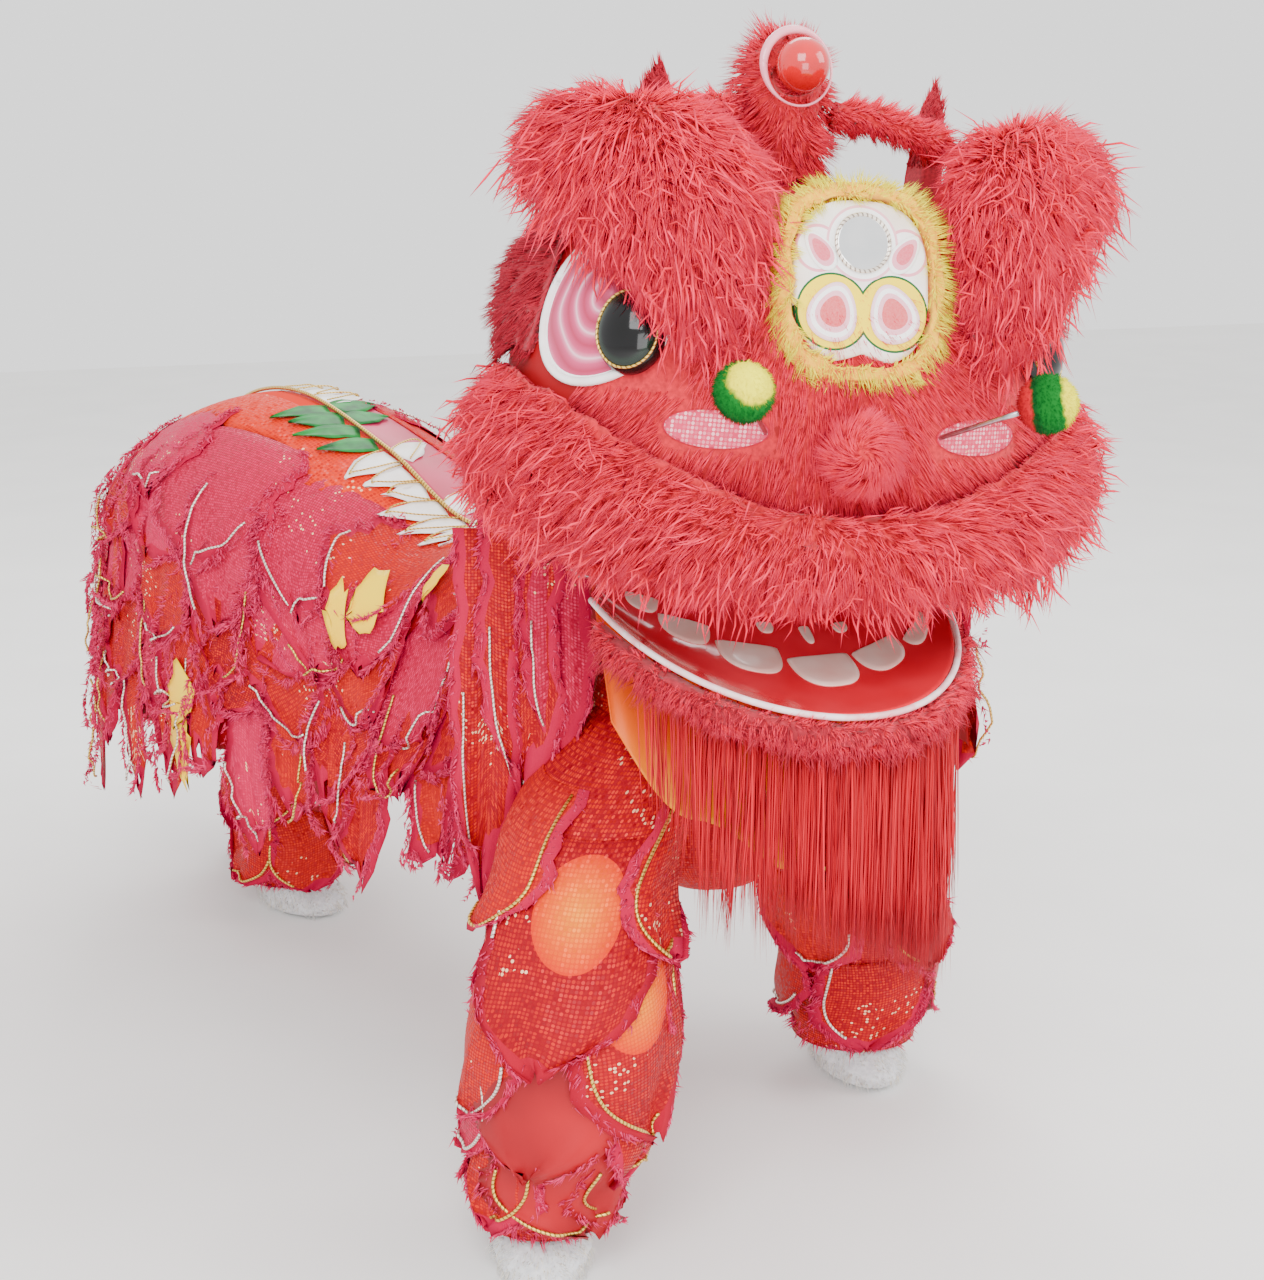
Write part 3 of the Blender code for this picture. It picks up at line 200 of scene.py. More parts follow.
# Fur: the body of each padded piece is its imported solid, remeshed smooth and drawn in a little, and
# pile grows on it as single hairs that are gathered in tufts.
def merged_copy(source, name):
    """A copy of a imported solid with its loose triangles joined, at the same place."""
    made = bpy.data.objects.new(name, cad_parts[source].data.copy())
    made.matrix_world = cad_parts[source].matrix_world.copy()
    bpy.context.scene.collection.objects.link(made)
    deselect()
    made.select_set(True)
    bpy.context.view_layer.objects.active = made
    bpy.ops.object.transform_apply(location=True, rotation=True, scale=True)
    bpy.ops.object.mode_set(mode="EDIT")
    bpy.ops.mesh.select_all(action="SELECT")
    bpy.ops.mesh.remove_doubles(threshold=0.00002)
    bpy.ops.object.mode_set(mode="OBJECT")
    made.data.materials.clear()
    return made


def backing(source, name, voxel, rounds, inward, material):
    """The smooth body under a fur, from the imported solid, drawn in under the pile."""
    made = merged_copy(source, name)
    made.data.remesh_voxel_size = voxel
    bpy.ops.object.voxel_remesh()
    for kind, values in (
        ("SMOOTH", {"factor": 0.5, "iterations": rounds}),
        ("DISPLACE", {"strength": -inward, "mid_level": 0.0}),
    ):
        step = made.modifiers.new("form", kind)
        for key, value in values.items():
            setattr(step, key, value)
        bpy.ops.object.modifier_apply(modifier=step.name)
    made.data.polygons.foreach_set("use_smooth", [True] * len(made.data.polygons))
    made.data.materials.append(material)
    return made


def middle_of(name):
    """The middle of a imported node's box."""
    return np.array([(a + b) / 2 for a, b in zip(*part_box(name))])


def unit(rows):
    """Rows of vectors at length 1."""
    return rows / np.maximum(np.linalg.norm(rows, axis=1, keepdims=True), 1e-9)


def roots_on(made, count, seed):
    """Points spread evenly over a mesh, with the surface's directions there."""
    mesh = made.data
    mesh.calc_loop_triangles()
    points = np.empty(len(mesh.vertices) * 3)
    mesh.vertices.foreach_get("co", points)
    points = points.reshape(-1, 3)
    looks = np.empty(len(mesh.vertices) * 3)
    mesh.vertices.foreach_get("normal", looks)
    looks = looks.reshape(-1, 3)
    corners = np.empty(len(mesh.loop_triangles) * 3, dtype=int)
    mesh.loop_triangles.foreach_get("vertices", corners)
    corners = corners.reshape(-1, 3)
    a, b, c = (points[corners[:, i]] for i in range(3))
    areas = np.linalg.norm(np.cross(b - a, c - a), axis=1)
    chance = np.random.default_rng(seed)
    along = (np.arange(count) + chance.random(count)) / count * areas.sum()
    picked = np.minimum(np.searchsorted(np.cumsum(areas), along), len(areas) - 1)
    u, v = chance.random(count), chance.random(count)
    fold = u + v > 1
    u[fold], v[fold] = 1 - u[fold], 1 - v[fold]
    w = 1 - u - v
    shares = np.stack([w, u, v], axis=1)[:, :, None]
    return (points[corners[picked]] * shares).sum(1), unit((looks[corners[picked]] * shares).sum(1))


THIRDS = (0, 2.0944, 4.1888)  # the three corners of a hair's ring, in radians
HAIR_SHARES = (0.75, 1.0, 0.72)  # of a hair's width, at its rings


def hairs(roots, first, last, longs, width, tuft, pull, seed, rings):
    """Closed tapering hairs that bend from their first to their last direction, drawn together in tufts.

    Gives points, triangles and a UV row for each point: a chance value for the hair, and the share along it.
    """
    chance = np.random.default_rng(seed)
    count = len(roots)
    heads = chance.choice(count, max(2, int(count / tuft)), replace=False)
    tree = KDTree(len(heads))
    for i, head in enumerate(heads):
        tree.insert(roots[head], i)
    tree.balance()
    near = heads[[tree.find(root)[1] for root in roots]]
    drawn = pull * (0.5 + 0.5 * chance.random(count))[:, None]
    side = unit(np.cross(first, chance.normal(size=(count, 3))))
    other = np.cross(unit(first), side)
    wide = width * (0.7 + 0.6 * chance.random(count))[:, None]
    points, uvs = [], []
    mark = chance.random(count)

    def line(k, share):
        return roots[k] + longs[k, None] * (first[k] * share + (last[k] - first[k]) * share**2 / 2)

    every = np.arange(count)
    for ring in range(rings + 1):
        share = ring / rings
        middle = line(every, share)
        middle = middle + (line(near, share) - middle) * drawn * share**1.6
        if ring == rings:
            points.append(middle[:, None, :])
            uvs.append(np.stack([mark, np.ones(count)], 1)[:, None, :])
            continue
        size = wide * HAIR_SHARES[min(ring, 2)] / 2
        turned = [middle + size * (side * math.cos(t) + other * math.sin(t)) for t in THIRDS]
        points.append(np.stack(turned, axis=1))
        uvs.append(np.repeat(np.stack([mark, np.full(count, share)], 1)[:, None, :], 3, axis=1))
    points = np.concatenate(points, axis=1)
    uvs = np.concatenate(uvs, axis=1)
    each = points.shape[1]
    pattern = [(2, 1, 0)]
    for ring in range(rings - 1):
        for i in range(3):
            j, low = (i + 1) % 3, 3 * ring
            pattern += [(low + i, low + j, low + 3 + j), (low + i, low + 3 + j, low + 3 + i)]
    low = 3 * (rings - 1)
    pattern += [(low + i, low + (i + 1) % 3, each - 1) for i in range(3)]
    faces = (np.arange(count)[:, None, None] * each + np.array(pattern)[None]).reshape(-1, 3)
    return points.reshape(-1, 3), faces, uvs.reshape(-1, 2)


def add_hairs(made, parts, material):
    """Joins hairs to a piece, as its next material slot."""
    points, faces, uvs = parts
    mesh = bpy.data.meshes.new(made.name + "_pile")
    mesh.from_pydata(points.tolist(), [], faces.tolist())
    mesh.polygons.foreach_set("use_smooth", [True] * len(faces))
    layer = mesh.uv_layers.new(name="strand")
    layer.data.foreach_set("uv", uvs[faces.reshape(-1)].reshape(-1))
    mesh.materials.append(material)
    pile = bpy.data.objects.new(mesh.name, mesh)
    bpy.context.scene.collection.objects.link(pile)
    if "strand" not in made.data.uv_layers:
        made.data.uv_layers.new(name="strand")
    deselect()
    pile.select_set(True)
    made.select_set(True)
    bpy.context.view_layer.objects.active = made
    bpy.ops.object.join()


ROOT_DEPTH = 0.003


def coat(made, material, count, length, width, comb, seed, lift=0.45, curl=0.25, tuft=20, pull=0.55,
         keep=None, trim=None, rings=2, drop=0.25):
    """Grows pile on a piece: comb gives its lie at points, keep leaves out roots, trim shortens hairs."""
    roots, looks = roots_on(made, count, seed)
    if keep is not None:
        kept = keep(roots, looks)
        roots, looks = roots[kept], looks[kept]
    chance = np.random.default_rng(seed + 1)
    lie = comb(roots, looks)
    lie = unit(lie - looks * (lie * looks).sum(1, keepdims=True))
    longs = length * (0.7 + 0.45 * chance.random(len(roots)))
    if trim is not None:
        longs = longs * trim(roots, looks)
    first = unit(looks * (lift + 0.35) + lie * (1 - lift) + chance.normal(size=roots.shape) * 0.12)
    last = looks * (lift - 0.15) + lie + chance.normal(size=roots.shape) * curl
    last = unit(last + np.array([0, 0, -drop]))
    roots = roots - looks * ROOT_DEPTH
    points, faces, uvs = hairs(roots, first, last, longs, width, tuft, pull, seed + 2, rings)
    points[:, 2] = np.maximum(points[:, 2], FLOOR + 0.0005)
    add_hairs(made, (points, faces, uvs), material)


def lying(*way):
    """Pile that lies one way all over."""
    return lambda points, looks: np.tile(way, (len(points), 1))


def fur_finish(name, root_shade, body, tip_highlight, pale, rough=0.75):
    """Acrylic pile: painted shade at the hair roots, a painted highlight at the tips, paler hairs and paler
    areas.
    """
    material, tree, shader = finish_of(name, rough, Sheen_Weight=0.12, Sheen_Roughness=0.4)
    shader.inputs["Sheen Tint"].default_value = tone(pale)
    strand = strand_of(tree)
    # Painted light along each hair: shade at the root, the pile's own colour in its body, a highlight at the
    # tip.
    along = ramp(tree, strand.outputs[1], [(0.0, root_shade), (0.4, body), (0.85, tip_highlight)])
    lot = maths(tree, "MULTIPLY", strand.outputs[0], noise(tree, 14.0))
    share = maths(tree, "MULTIPLY", lot, 1.3, clamp=True)
    tree.links.new(blend(tree, share, along, tone(pale)), shader.inputs["Base Color"])
    return material


def felt_finish(name, dark, light, grit=0.0015):
    """Cloth or pile backing: a fibrous mottle at the given grit."""
    material, tree, shader = finish_of(name, 0.85, Sheen_Weight=0.2)
    fibre = noise(tree, 1 / (4 * grit), 4.0)
    colour_by(tree, shader, fibre, [(0.3, dark), (0.7, light)])
    relief(tree, shader, fibre, 0.4, grit)
    return material


GLUED = 0.022  # how near the shell a piece's back counts as glued to it


def clear_of_shell(roots, looks):
    """Leaves out roots on the side of a piece that is glued to the head's shell."""
    kept = np.ones(len(roots), dtype=bool)
    for i, (root, look) in enumerate(zip(roots, looks)):
        hit, normal, _, far = SHELL_TREE.find_nearest(root)
        if hit is not None and far < GLUED and normal.dot(Vector(look)) < -0.2:
            kept[i] = False
    return kept


shell_form = merged_copy("head_shell", "shell_form")
SHELL_TREE = BVHTree.FromPolygons([v.co.copy() for v in shell_form.data.vertices],
                                  [tuple(p.vertices) for p in shell_form.data.polygons])
bpy.data.objects.remove(shell_form)

coral_fur = fur_finish("coral_acrylic_fur", "B20020", "EA0030", "FF0848", "FF2C5A")
coral_backing = felt_finish("coral_fur_backing", "A80018", "D80028")

# Fur roll round the upper jaw: long coral pile on a foam roll that is glued to the head's shell,
# combed out from the nose and down.
muzzle = backing("muzzle_fur", "upper_jaw_roll", 0.011, 6, 0.020, coral_backing)


def from_nose(points, looks):
    """The pile of the roll parts at the nose, lies outwards on top and straight down below."""
    spread = np.clip(points[:, 0] / 0.16, -1, 1)
    lower = np.clip((-0.06 - points[:, 2]) / 0.08, 0, 1)
    return np.stack([spread * (0.9 - 0.6 * lower), -0.25 - 0 * spread, -0.55 - 0.6 * lower], axis=1)


coat(muzzle, coral_fur, 31000, 0.047, 0.0026, from_nose, 100, lift=0.5, keep=clear_of_shell, tuft=24,
     rings=1)
coat(muzzle, coral_fur, 2600, 0.060, 0.0028, from_nose, 110, lift=0.40, keep=clear_of_shell, tuft=14)
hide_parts("muzzle_fur")
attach(muzzle, "head_and_body")

# Brow pads: two thick pads of the same coral pile, stuffed, that stand out over the eyes. The pile
# fans out from the middle of each pad and falls over its lower tip.
for side, letter in ((-1, "R"), (1, "L")):
    pad = backing("brow_fur_" + letter, "brow_pad_" + letter, 0.013, 5, 0.020, coral_backing)
    middle = middle_of("brow_fur_" + letter) + np.array([0, 0.05, 0.10])

    def fan(points, looks, middle=middle):
        return unit(points - middle) * 0.75 + np.array([0.0, 0.0, -0.55])

    coat(pad, coral_fur, 15500, 0.052, 0.0029, fan, 120 + side, lift=0.45, keep=clear_of_shell, tuft=24,
         rings=1)
    coat(pad, coral_fur, 1700, 0.066, 0.0029, fan, 130 + side, lift=0.38, keep=clear_of_shell, tuft=12)
    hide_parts("brow_fur_" + letter)
    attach(pad, "head_and_body")

# Nose: a ball of shorter pile whose hairs lie in rings round its middle, with a parting at its side.
nose = backing("nose", "nose_ball", 0.006, 4, 0.010, coral_backing)
nose_at = middle_of("nose")


def ringed(points, looks):
    return np.cross(points - nose_at, np.array([0.0, -1.0, 0.15])) + np.array([0, 0, -0.01])


coat(nose, coral_fur, 3400, 0.036, 0.0026, ringed, 140, lift=0.4, keep=clear_of_shell, tuft=24, rings=1)
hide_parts("nose")
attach(nose, "head_and_body")

# Cheeks behind the eyes: short crimson pile that lies back and down.
crimson_fur = fur_finish("crimson_acrylic_fur", "700014", "A00020", "C0002C", "DC1440")
crimson_backing = felt_finish("crimson_fur_backing", "8C0A20", "B01230")
for side, letter in ((-1, "R"), (1, "L")):
    cheek = backing("cheek_fur_" + letter, "cheek_pile_" + letter, 0.008, 5, 0.010, crimson_backing)
    coat(cheek, crimson_fur, 3600, 0.038, 0.0028, lying(0.2 * side, 0.5, -0.7), 160 + side,
         keep=clear_of_shell, tuft=20, rings=1)
    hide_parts("cheek_fur_" + letter)
    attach(cheek, "head_and_body")

# Horn: an upright knob of coral pile on the crown, parted in front round its red bulb.
horn = backing("horn", "horn_knob", 0.007, 5, 0.012, coral_backing)
bulb_at = middle_of("horn_bulb")


def off_bulb(points, looks):
    return np.linalg.norm(points - bulb_at, axis=1) > 0.040


def short_by_bulb(points, looks):
    return np.clip((np.linalg.norm(points - bulb_at, axis=1) - 0.030) / 0.045, 0.35, 1.0)


coat(horn, coral_fur, 5000, 0.048, 0.0028,
     lambda points, looks: unit(points - bulb_at) + np.array([0, 0, -0.1]),
     180, lift=0.6, keep=off_bulb, trim=short_by_bulb, tuft=20, drop=0.05, rings=1)
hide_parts("horn")
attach(horn, "head_and_body")

# Fur ropes from the horn to each brow pad: a cord wound with pile that stands out all round.
for side, letter in ((-1, "R"), (1, "L")):
    rope = backing("boa_" + letter, "fur_rope_" + letter, 0.006, 4, 0.008, coral_backing)
    coat(rope, coral_fur, 2400, 0.029, 0.0027, lying(0.8 * side, -0.1, -0.4), 200 + side,
         lift=0.65, tuft=16, drop=0.1, rings=1)
    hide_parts("boa_" + letter)
    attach(rope, "head_and_body")

# Yellow fur round the forehead plate: a narrow strip of bright pile that points away from the plate.
yellow_fur = fur_finish("yellow_acrylic_fur", "FFB800", "FFDC00", "FFF000", "FFFF20")
yellow_backing = felt_finish("yellow_fur_backing", "F0A000", "FFC818")
edging = backing("forehead_fur", "forehead_edging", 0.006, 3, 0.006, yellow_backing)
plate_at = middle_of("forehead_plate")
coat(edging, yellow_fur, 4200, 0.029, 0.0026,
     lambda points, looks: unit(points - plate_at) + np.array([0, -0.3, -0.15]),
     220, lift=0.4, tuft=16, drop=0.1, rings=1,
     keep=lambda points, looks: clear_of_shell(points, looks) & (looks[:, 1] < 0.35))
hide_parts("forehead_fur")
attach(edging, "head_and_body")

# Body cloth: red satin over the two wearers' backs, hung from the head and open below, in soft folds.
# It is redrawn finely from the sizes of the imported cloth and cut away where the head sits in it.
CAPE = np.array([  # x, y, ridge, half width, shoulder drop, hem half width, hem, heading in degrees
    (0.010, 0.150, 0.160, 0.300, 0.300, 0.335, -0.480, 0),
    (-0.010, 0.270, 0.040, 0.295, 0.240, 0.330, -0.500, 4),
    (-0.130, 0.410, -0.140, 0.250, 0.160, 0.290, -0.540, 14),
    (-0.270, 0.540, -0.215, 0.215, 0.140, 0.245, -0.560, 23),
    (-0.370, 0.720, -0.130, 0.230, 0.180, 0.255, -0.560, 24),
    (-0.460, 0.930, -0.075, 0.250, 0.200, 0.275, -0.580, 22),
    (-0.525, 1.110, -0.092, 0.248, 0.200, 0.270, -0.600, 18),
    (-0.560, 1.290, -0.165, 0.225, 0.190, 0.245, -0.620, 10),
    (-0.570, 1.430, -0.290, 0.180, 0.170, 0.200, -0.620, 5),
    (-0.575, 1.520, -0.460, 0.100, 0.080, 0.110, -0.600, 3),
])
HEAD = [  # height, half width, front, back of the head's outer skin
    (-0.160, 0.270, -0.185, 0.195),
    (-0.100, 0.318, -0.215, 0.225),
    (-0.020, 0.340, -0.232, 0.245),
    (0.060, 0.338, -0.238, 0.250),
    (0.140, 0.328, -0.225, 0.245),
    (0.200, 0.312, -0.200, 0.230),
    (0.250, 0.280, -0.165, 0.205),
    (0.285, 0.225, -0.120, 0.165),
    (0.300, 0.150, -0.070, 0.110),
]
SHOULDER = 0.42  # share of the flank that is its round shoulder
TILT = math.radians(4.5)  # how far the head leans to the lion's left
HEAD_POWER, HEAD_MIDDLE = 2.3, 0.02  # the head's plan is a superellipse of this power round this y


def table_at(rows, at):
    """A row between the rows of a table, on a smooth curve through them; at counts rows."""
    place = int(np.clip(at, 0, len(rows) - 2))
    t = at - place
    a, b = rows[max(place - 1, 0)], rows[place]
    c, d = rows[place + 1], rows[min(place + 2, len(rows) - 1)]
    near, far = (c - a) / 2, (d - b) / 2
    return ((2 * t**3 - 3 * t**2 + 1) * b + (t**3 - 2 * t**2 + t) * near + (3 * t**2 - 2 * t**3) * c
            + (t**3 - t**2) * far)


def cape_line(station, side):
    """Points down one flank of the body cloth from its ridge to its hem."""
    x, y, ridge, half, drop, hem_half, hem, heading = table_at(CAPE, station)
    u = np.linspace(0, 1, 80)
    angle = math.pi / 2 * np.minimum(u / SHOULDER, 1)
    share = np.maximum(u - SHOULDER, 0) / (1 - SHOULDER)
    fold = 0.012 * share * math.sin(math.pi * station)
    wide = np.where(u < SHOULDER, half * np.sin(angle), half + (hem_half - half) * share + fold)
    z = np.where(u < SHOULDER, ridge - drop * (1 - np.cos(angle)),
                 ridge - drop + (hem - ridge + drop) * share)
    turn = math.radians(heading)
    return np.stack([x + side * wide * math.cos(turn), y + side * wide * math.sin(turn), z], axis=1)


DOWN_STEP, DOWN_COUNT, STATION_COUNT = 0.010, 125, 136
STATIONS = np.linspace(0, len(CAPE) - 1, STATION_COUNT)


def flank(side):
    """A grid over one flank: by station, and by the distance down the cloth and on past its hem."""
    grid = np.empty((STATION_COUNT, DOWN_COUNT, 3))
    ends = np.empty(STATION_COUNT)
    for i, station in enumerate(STATIONS):
        line = cape_line(station, side)
        steps = np.concatenate([[0], np.cumsum(np.linalg.norm(np.diff(line, axis=0), axis=1))])
        wanted = np.arange(DOWN_COUNT) * DOWN_STEP
        past = np.maximum(wanted - steps[-1], 0)
        for k in range(3):
            grid[i, :, k] = np.interp(wanted, steps, line[:, k])
        grid[i, :, 2] -= past
        ends[i] = steps[-1]
    along, down = np.gradient(grid, axis=0), np.gradient(grid, axis=1)
    looks = unit(np.cross(down, along)) * side
    return grid, looks, ends


FLANKS = {-1: flank(-1), 1: flank(1)}
MIDLINE = np.array([table_at(CAPE, s)[:3] for s in STATIONS])
RUN = np.concatenate([[0], np.cumsum(np.linalg.norm(np.diff(MIDLINE, axis=0), axis=1))])


def over_flank(side, run, down, out):
    """Points over a flank, at a distance along the back, a distance down it, and a height off it."""
    grid, looks, _ = FLANKS[side]
    i = np.clip(np.interp(run, RUN, np.arange(STATION_COUNT)), 0, STATION_COUNT - 1.001)
    k = np.clip(down / DOWN_STEP, 0, DOWN_COUNT - 1.001)
    low_i, low_k = i.astype(int), k.astype(int)
    part_i, part_k = (i - low_i)[..., None], (k - low_k)[..., None]
    found = []
    for rows in (grid, looks):
        a = rows[low_i, low_k] * (1 - part_k) + rows[low_i, low_k + 1] * part_k
        b = rows[low_i + 1, low_k] * (1 - part_k) + rows[low_i + 1, low_k + 1] * part_k
        found.append(a * (1 - part_i) + b * part_i)
    return found[0] + unit(found[1]) * out[..., None]


def mesh_of(name, points, faces, uvs, marks, materials):
    """One mesh from arrays: triangles, UV rows for each point, a material number for each triangle."""
    mesh = bpy.data.meshes.new(name)
    mesh.vertices.add(len(points))
    mesh.vertices.foreach_set("co", points.reshape(-1))
    mesh.loops.add(len(faces) * 3)
    mesh.loops.foreach_set("vertex_index", faces.reshape(-1))
    mesh.polygons.add(len(faces))
    mesh.polygons.foreach_set("loop_start", np.arange(0, len(faces) * 3, 3))
    mesh.polygons.foreach_set("use_smooth", [True] * len(faces))
    mesh.polygons.foreach_set("material_index", marks)
    for key, rows in uvs.items():
        layer = mesh.uv_layers.new(name=key)
        layer.data.foreach_set("uv", rows[faces.reshape(-1)].reshape(-1))
    for material in materials:
        mesh.materials.append(material)
    mesh.update(calc_edges=True)
    mesh.validate()
    made = bpy.data.objects.new(name, mesh)
    bpy.context.scene.collection.objects.link(made)
    return made


class Pile:
    """Collects the triangles of a piece that is made of many small ones."""

    def __init__(self):
        self.points, self.faces, self.first, self.second, self.marks, self.count = [], [], [], [], [], 0

    def add(self, points, faces, first, second, mark):
        self.points.append(points)
        self.faces.append(np.asarray(faces) + self.count)
        self.first.append(first)
        self.second.append(second)
        self.marks.append(np.full(len(faces), mark))
        self.count += len(points)

    def made(self, name, materials):
        uvs = {"weave": np.concatenate(self.first), "strand": np.concatenate(self.second)}
        return mesh_of(name, np.concatenate(self.points), np.concatenate(self.faces), uvs,
                       np.concatenate(self.marks), materials)


def grid_faces(rows, columns):
    index = np.arange(rows * columns).reshape(rows, columns)
    corners = (index[:-1, :-1], index[:-1, 1:], index[1:, 1:], index[1:, :-1])
    a, b, c, d = (part.reshape(-1) for part in corners)
    return np.concatenate([np.stack([a, b, c], 1), np.stack([a, c, d], 1)])


def walled(top, half):
    """Triangles of a closed wall from those of its outside; its inside's points follow half points on."""
    edges = np.concatenate([top[:, [0, 1]], top[:, [1, 2]], top[:, [2, 0]]])
    ahead, back = edges[:, 0] * 2 * half + edges[:, 1], edges[:, 1] * 2 * half + edges[:, 0]
    a, b = edges[~np.isin(ahead, back)].T
    rim = np.concatenate([np.stack([b, a, a + half], 1), np.stack([b, a + half, b + half], 1)])
    return np.concatenate([top, top[:, ::-1] + half, rim])


def two_sided(rows, columns):
    """Triangles of a closed wall between two grids of points, the first one on the outside."""
    return walled(grid_faces(rows, columns), rows * columns)


def facing(points, faces, wanted):
    """Turns triangles round if their first one looks against the wanted direction."""
    a, b, c = points[faces[0]]
    return faces if np.dot(np.cross(b - a, c - a), wanted) > 0 else faces[:, ::-1]


def wall_between(outer, inner, wanted=None):
    """Points and triangles of a closed wall between two grids of points."""
    points = np.concatenate([outer.reshape(-1, 3), inner.reshape(-1, 3)])
    wanted = (outer - inner)[0, 0] if wanted is None else wanted
    return points, facing(points, two_sided(*outer.shape[:2]), wanted)


def round_of(count):
    """Angles all round, in even steps."""
    return np.arange(count) * 2 * math.pi / count


def cord_parts(path, looks, radius, sides=5):
    """A round cord along points; gives its points, triangles and UV rows: round it, and metres along it."""
    ahead = unit(np.gradient(path, axis=0))
    up = unit(looks - ahead * (looks * ahead).sum(1, keepdims=True))
    across = np.cross(ahead, up)
    turns = round_of(sides)
    rings = path[:, None] + radius * (across[:, None] * np.cos(turns)[None, :, None]
                                      + up[:, None] * np.sin(turns)[None, :, None])
    count = len(path)
    far = np.concatenate([[0], np.cumsum(np.linalg.norm(np.diff(path, axis=0), axis=1))])
    uvs = np.stack([np.tile(np.arange(sides) / sides, count), np.repeat(far, sides)], 1)
    index = np.arange(count * sides).reshape(count, sides)
    a, b = index[:-1], np.roll(index[:-1], -1, axis=1)
    c, d = np.roll(index[1:], -1, axis=1), index[1:]
    faces = np.concatenate([np.stack([a, b, c], 2).reshape(-1, 3), np.stack([a, c, d], 2).reshape(-1, 3)])
    points = np.concatenate([rings.reshape(-1, 3), path[:1], path[-1:]])
    uvs = np.concatenate([uvs, uvs[:1], uvs[-1:]])
    ends = [(j, (count * sides), (j + 1) % sides) for j in range(sides)]
    last = (count - 1) * sides
    ends += [(last + j, last + (j + 1) % sides, count * sides + 1) for j in range(sides)]
    faces = np.concatenate([faces[:, ::-1], np.array(ends)[:, ::-1]])
    return points, faces, uvs


class Flap:
    """One sewn-on flap: cloth, an inset cord and a wool edge, laid over a surface by its place function."""

    def __init__(self, place, wide, long, stand, chance, point=2.1, wave=0.010, lean=0.0, tint=0.5,
                 full=0.42, torn=0.055):
        self.place, self.wide, self.long, self.point = place, wide, long, point
        self.stand, self.wave, self.tint, self.full, self.torn = stand, wave, tint, full, torn
        self.phase, self.lean = chance.random() * 6.3, lean
        self.beats = 1.2 + 1.3 * chance.random()
        self.skew = (chance.random() - 0.5) * 0.40

    def half(self, u, v, share=1.0):
        """Half the width at a share of the length, drawn in to the foot; share is how torn it is."""
        fall = np.clip((v - self.full) / (1 - self.full), 0, 1)
        bite = np.sin(14 * v + self.phase + 2 * np.sign(u))
        bite = bite + 0.8 * np.sin(33 * v + 2.3 * self.phase - np.sign(u))
        drawn = (0.86 + 0.14 * np.clip(v / 0.3, 0, 1)) * (1 - 0.94 * fall**self.point)
        return self.wide / 2 * drawn * (1 + share * self.torn * bite)

    def at(self, u, v, out=0.0):
        """Points at shares across and down the flap."""
        a = u * self.half(u, v) + self.skew * self.wide * v**2
        d = v * self.long * (1 + self.torn * v * np.sin(5 * u + self.phase))
        low, high = self.stand
        folds = np.sin(self.phase + self.beats * math.pi * u + 2.2 * v)
        folds = folds + 0.5 * np.sin(2.3 * self.beats * math.pi * u + 4 * v - self.phase)
        rise = low + (high - low) * v**0.8 + self.wave * (0.9 * v + v**0.8 * folds) + 0.006 * u**2 * v
        rise = np.maximum(rise, low)
        cos, sin = math.cos(self.lean), math.sin(self.lean)
        return self.place(a * cos + d * sin, d * cos - a * sin, rise + out)

    def cloth(self, pile, mark, nu=9, nv=15, thick=0.0012):
        v, u = np.meshgrid(np.linspace(0, 1, nv), np.linspace(-1, 1, nu), indexing="ij")
        points, faces = wall_between(self.at(u, v), self.at(u, v, -thick))
        half = self.half(u, v)
        weave = np.stack([(u * half).reshape(-1), (v * self.long).reshape(-1)], 1)
        edge = np.minimum((1 - np.abs(u)) * half, (1 - v) * self.long * 0.9).reshape(-1)
        zone = np.stack([np.full(edge.size, self.tint), edge * 10], 1)
        pile.add(points, faces, np.tile(weave, (2, 1)), np.tile(zone, (2, 1)), mark)

    def edge_run(self, count, inset, start=0.03, share=1.0):
        """Shares across and down along the flap's outline, inset, from one top corner round to the other."""
        v = start + (1 - start) * np.sin(np.linspace(0, math.pi / 2, count // 2))
        v = np.minimum(v, 1 - inset / self.long)
        left, right = (np.clip((self.half(s, v, share) - inset) / np.maximum(self.half(s, v), 1e-6), 0.02, 1)
                       for s in (-1.0, 1.0))
        return np.concatenate([-left, right[::-1]]), np.concatenate([v, v[::-1]])

    def cord(self, pile, mark, part=(0.0, 1.0), inset=0.017, count=52, radius=0.0019):
        u, v = self.edge_run(count, inset, share=0.0)
        low, high = int(part[0] * count), max(int(part[1] * count), int(part[0] * count) + 4)
        a = u * self.half(u, v)
        for _ in range(9):
            for row in (a, v):
                row[1:-1] = (row[:-2] + row[1:-1] + row[2:]) / 3
        u = np.clip(a / np.maximum(self.half(u, v), 1e-6), -0.92, 0.92)
        u, v = u[low:high], v[low:high]
        path, lifted = self.at(u, v, 0.0022), self.at(u, v, 0.01)
        points, faces, uvs = cord_parts(path, unit(lifted - path), radius)
        pile.add(points, faces, uvs, uvs, mark)

    def wool(self, count, chance, long):
        """Roots and directions of the wool that is caught in the flap's edge."""
        place = np.sort(chance.random(count)) * (2 * 40 - 1.001)
        u, v = self.edge_run(80, 0.0, 0.0)
        low = place.astype(int)
        share = place - low
        u, v = u[low] * (1 - share) + u[low + 1] * share, v[low] * (1 - share) + v[low + 1] * share
        inward = 1 - 0.16 * chance.random(count)
        root = self.at(u * inward, v * (0.4 + 0.6 * inward), 0.0002)
        outward = unit(self.at(u * 1.02, np.minimum(v * 1.02, 1.05), 0.0) - root)
        up = unit(self.at(u, v, 0.01) - self.at(u, v, 0.0))
        first = outward + up * (0.35 + 0.4 * chance.normal(size=(count, 1)))
        first = unit(first + 0.45 * chance.normal(size=(count, 3)))
        last = unit(outward * 0.6 + np.array([0, 0, -0.5]) + 0.9 * chance.normal(size=(count, 3)))
        return root, first, last, long * (0.5 + 0.8 * chance.random(count))


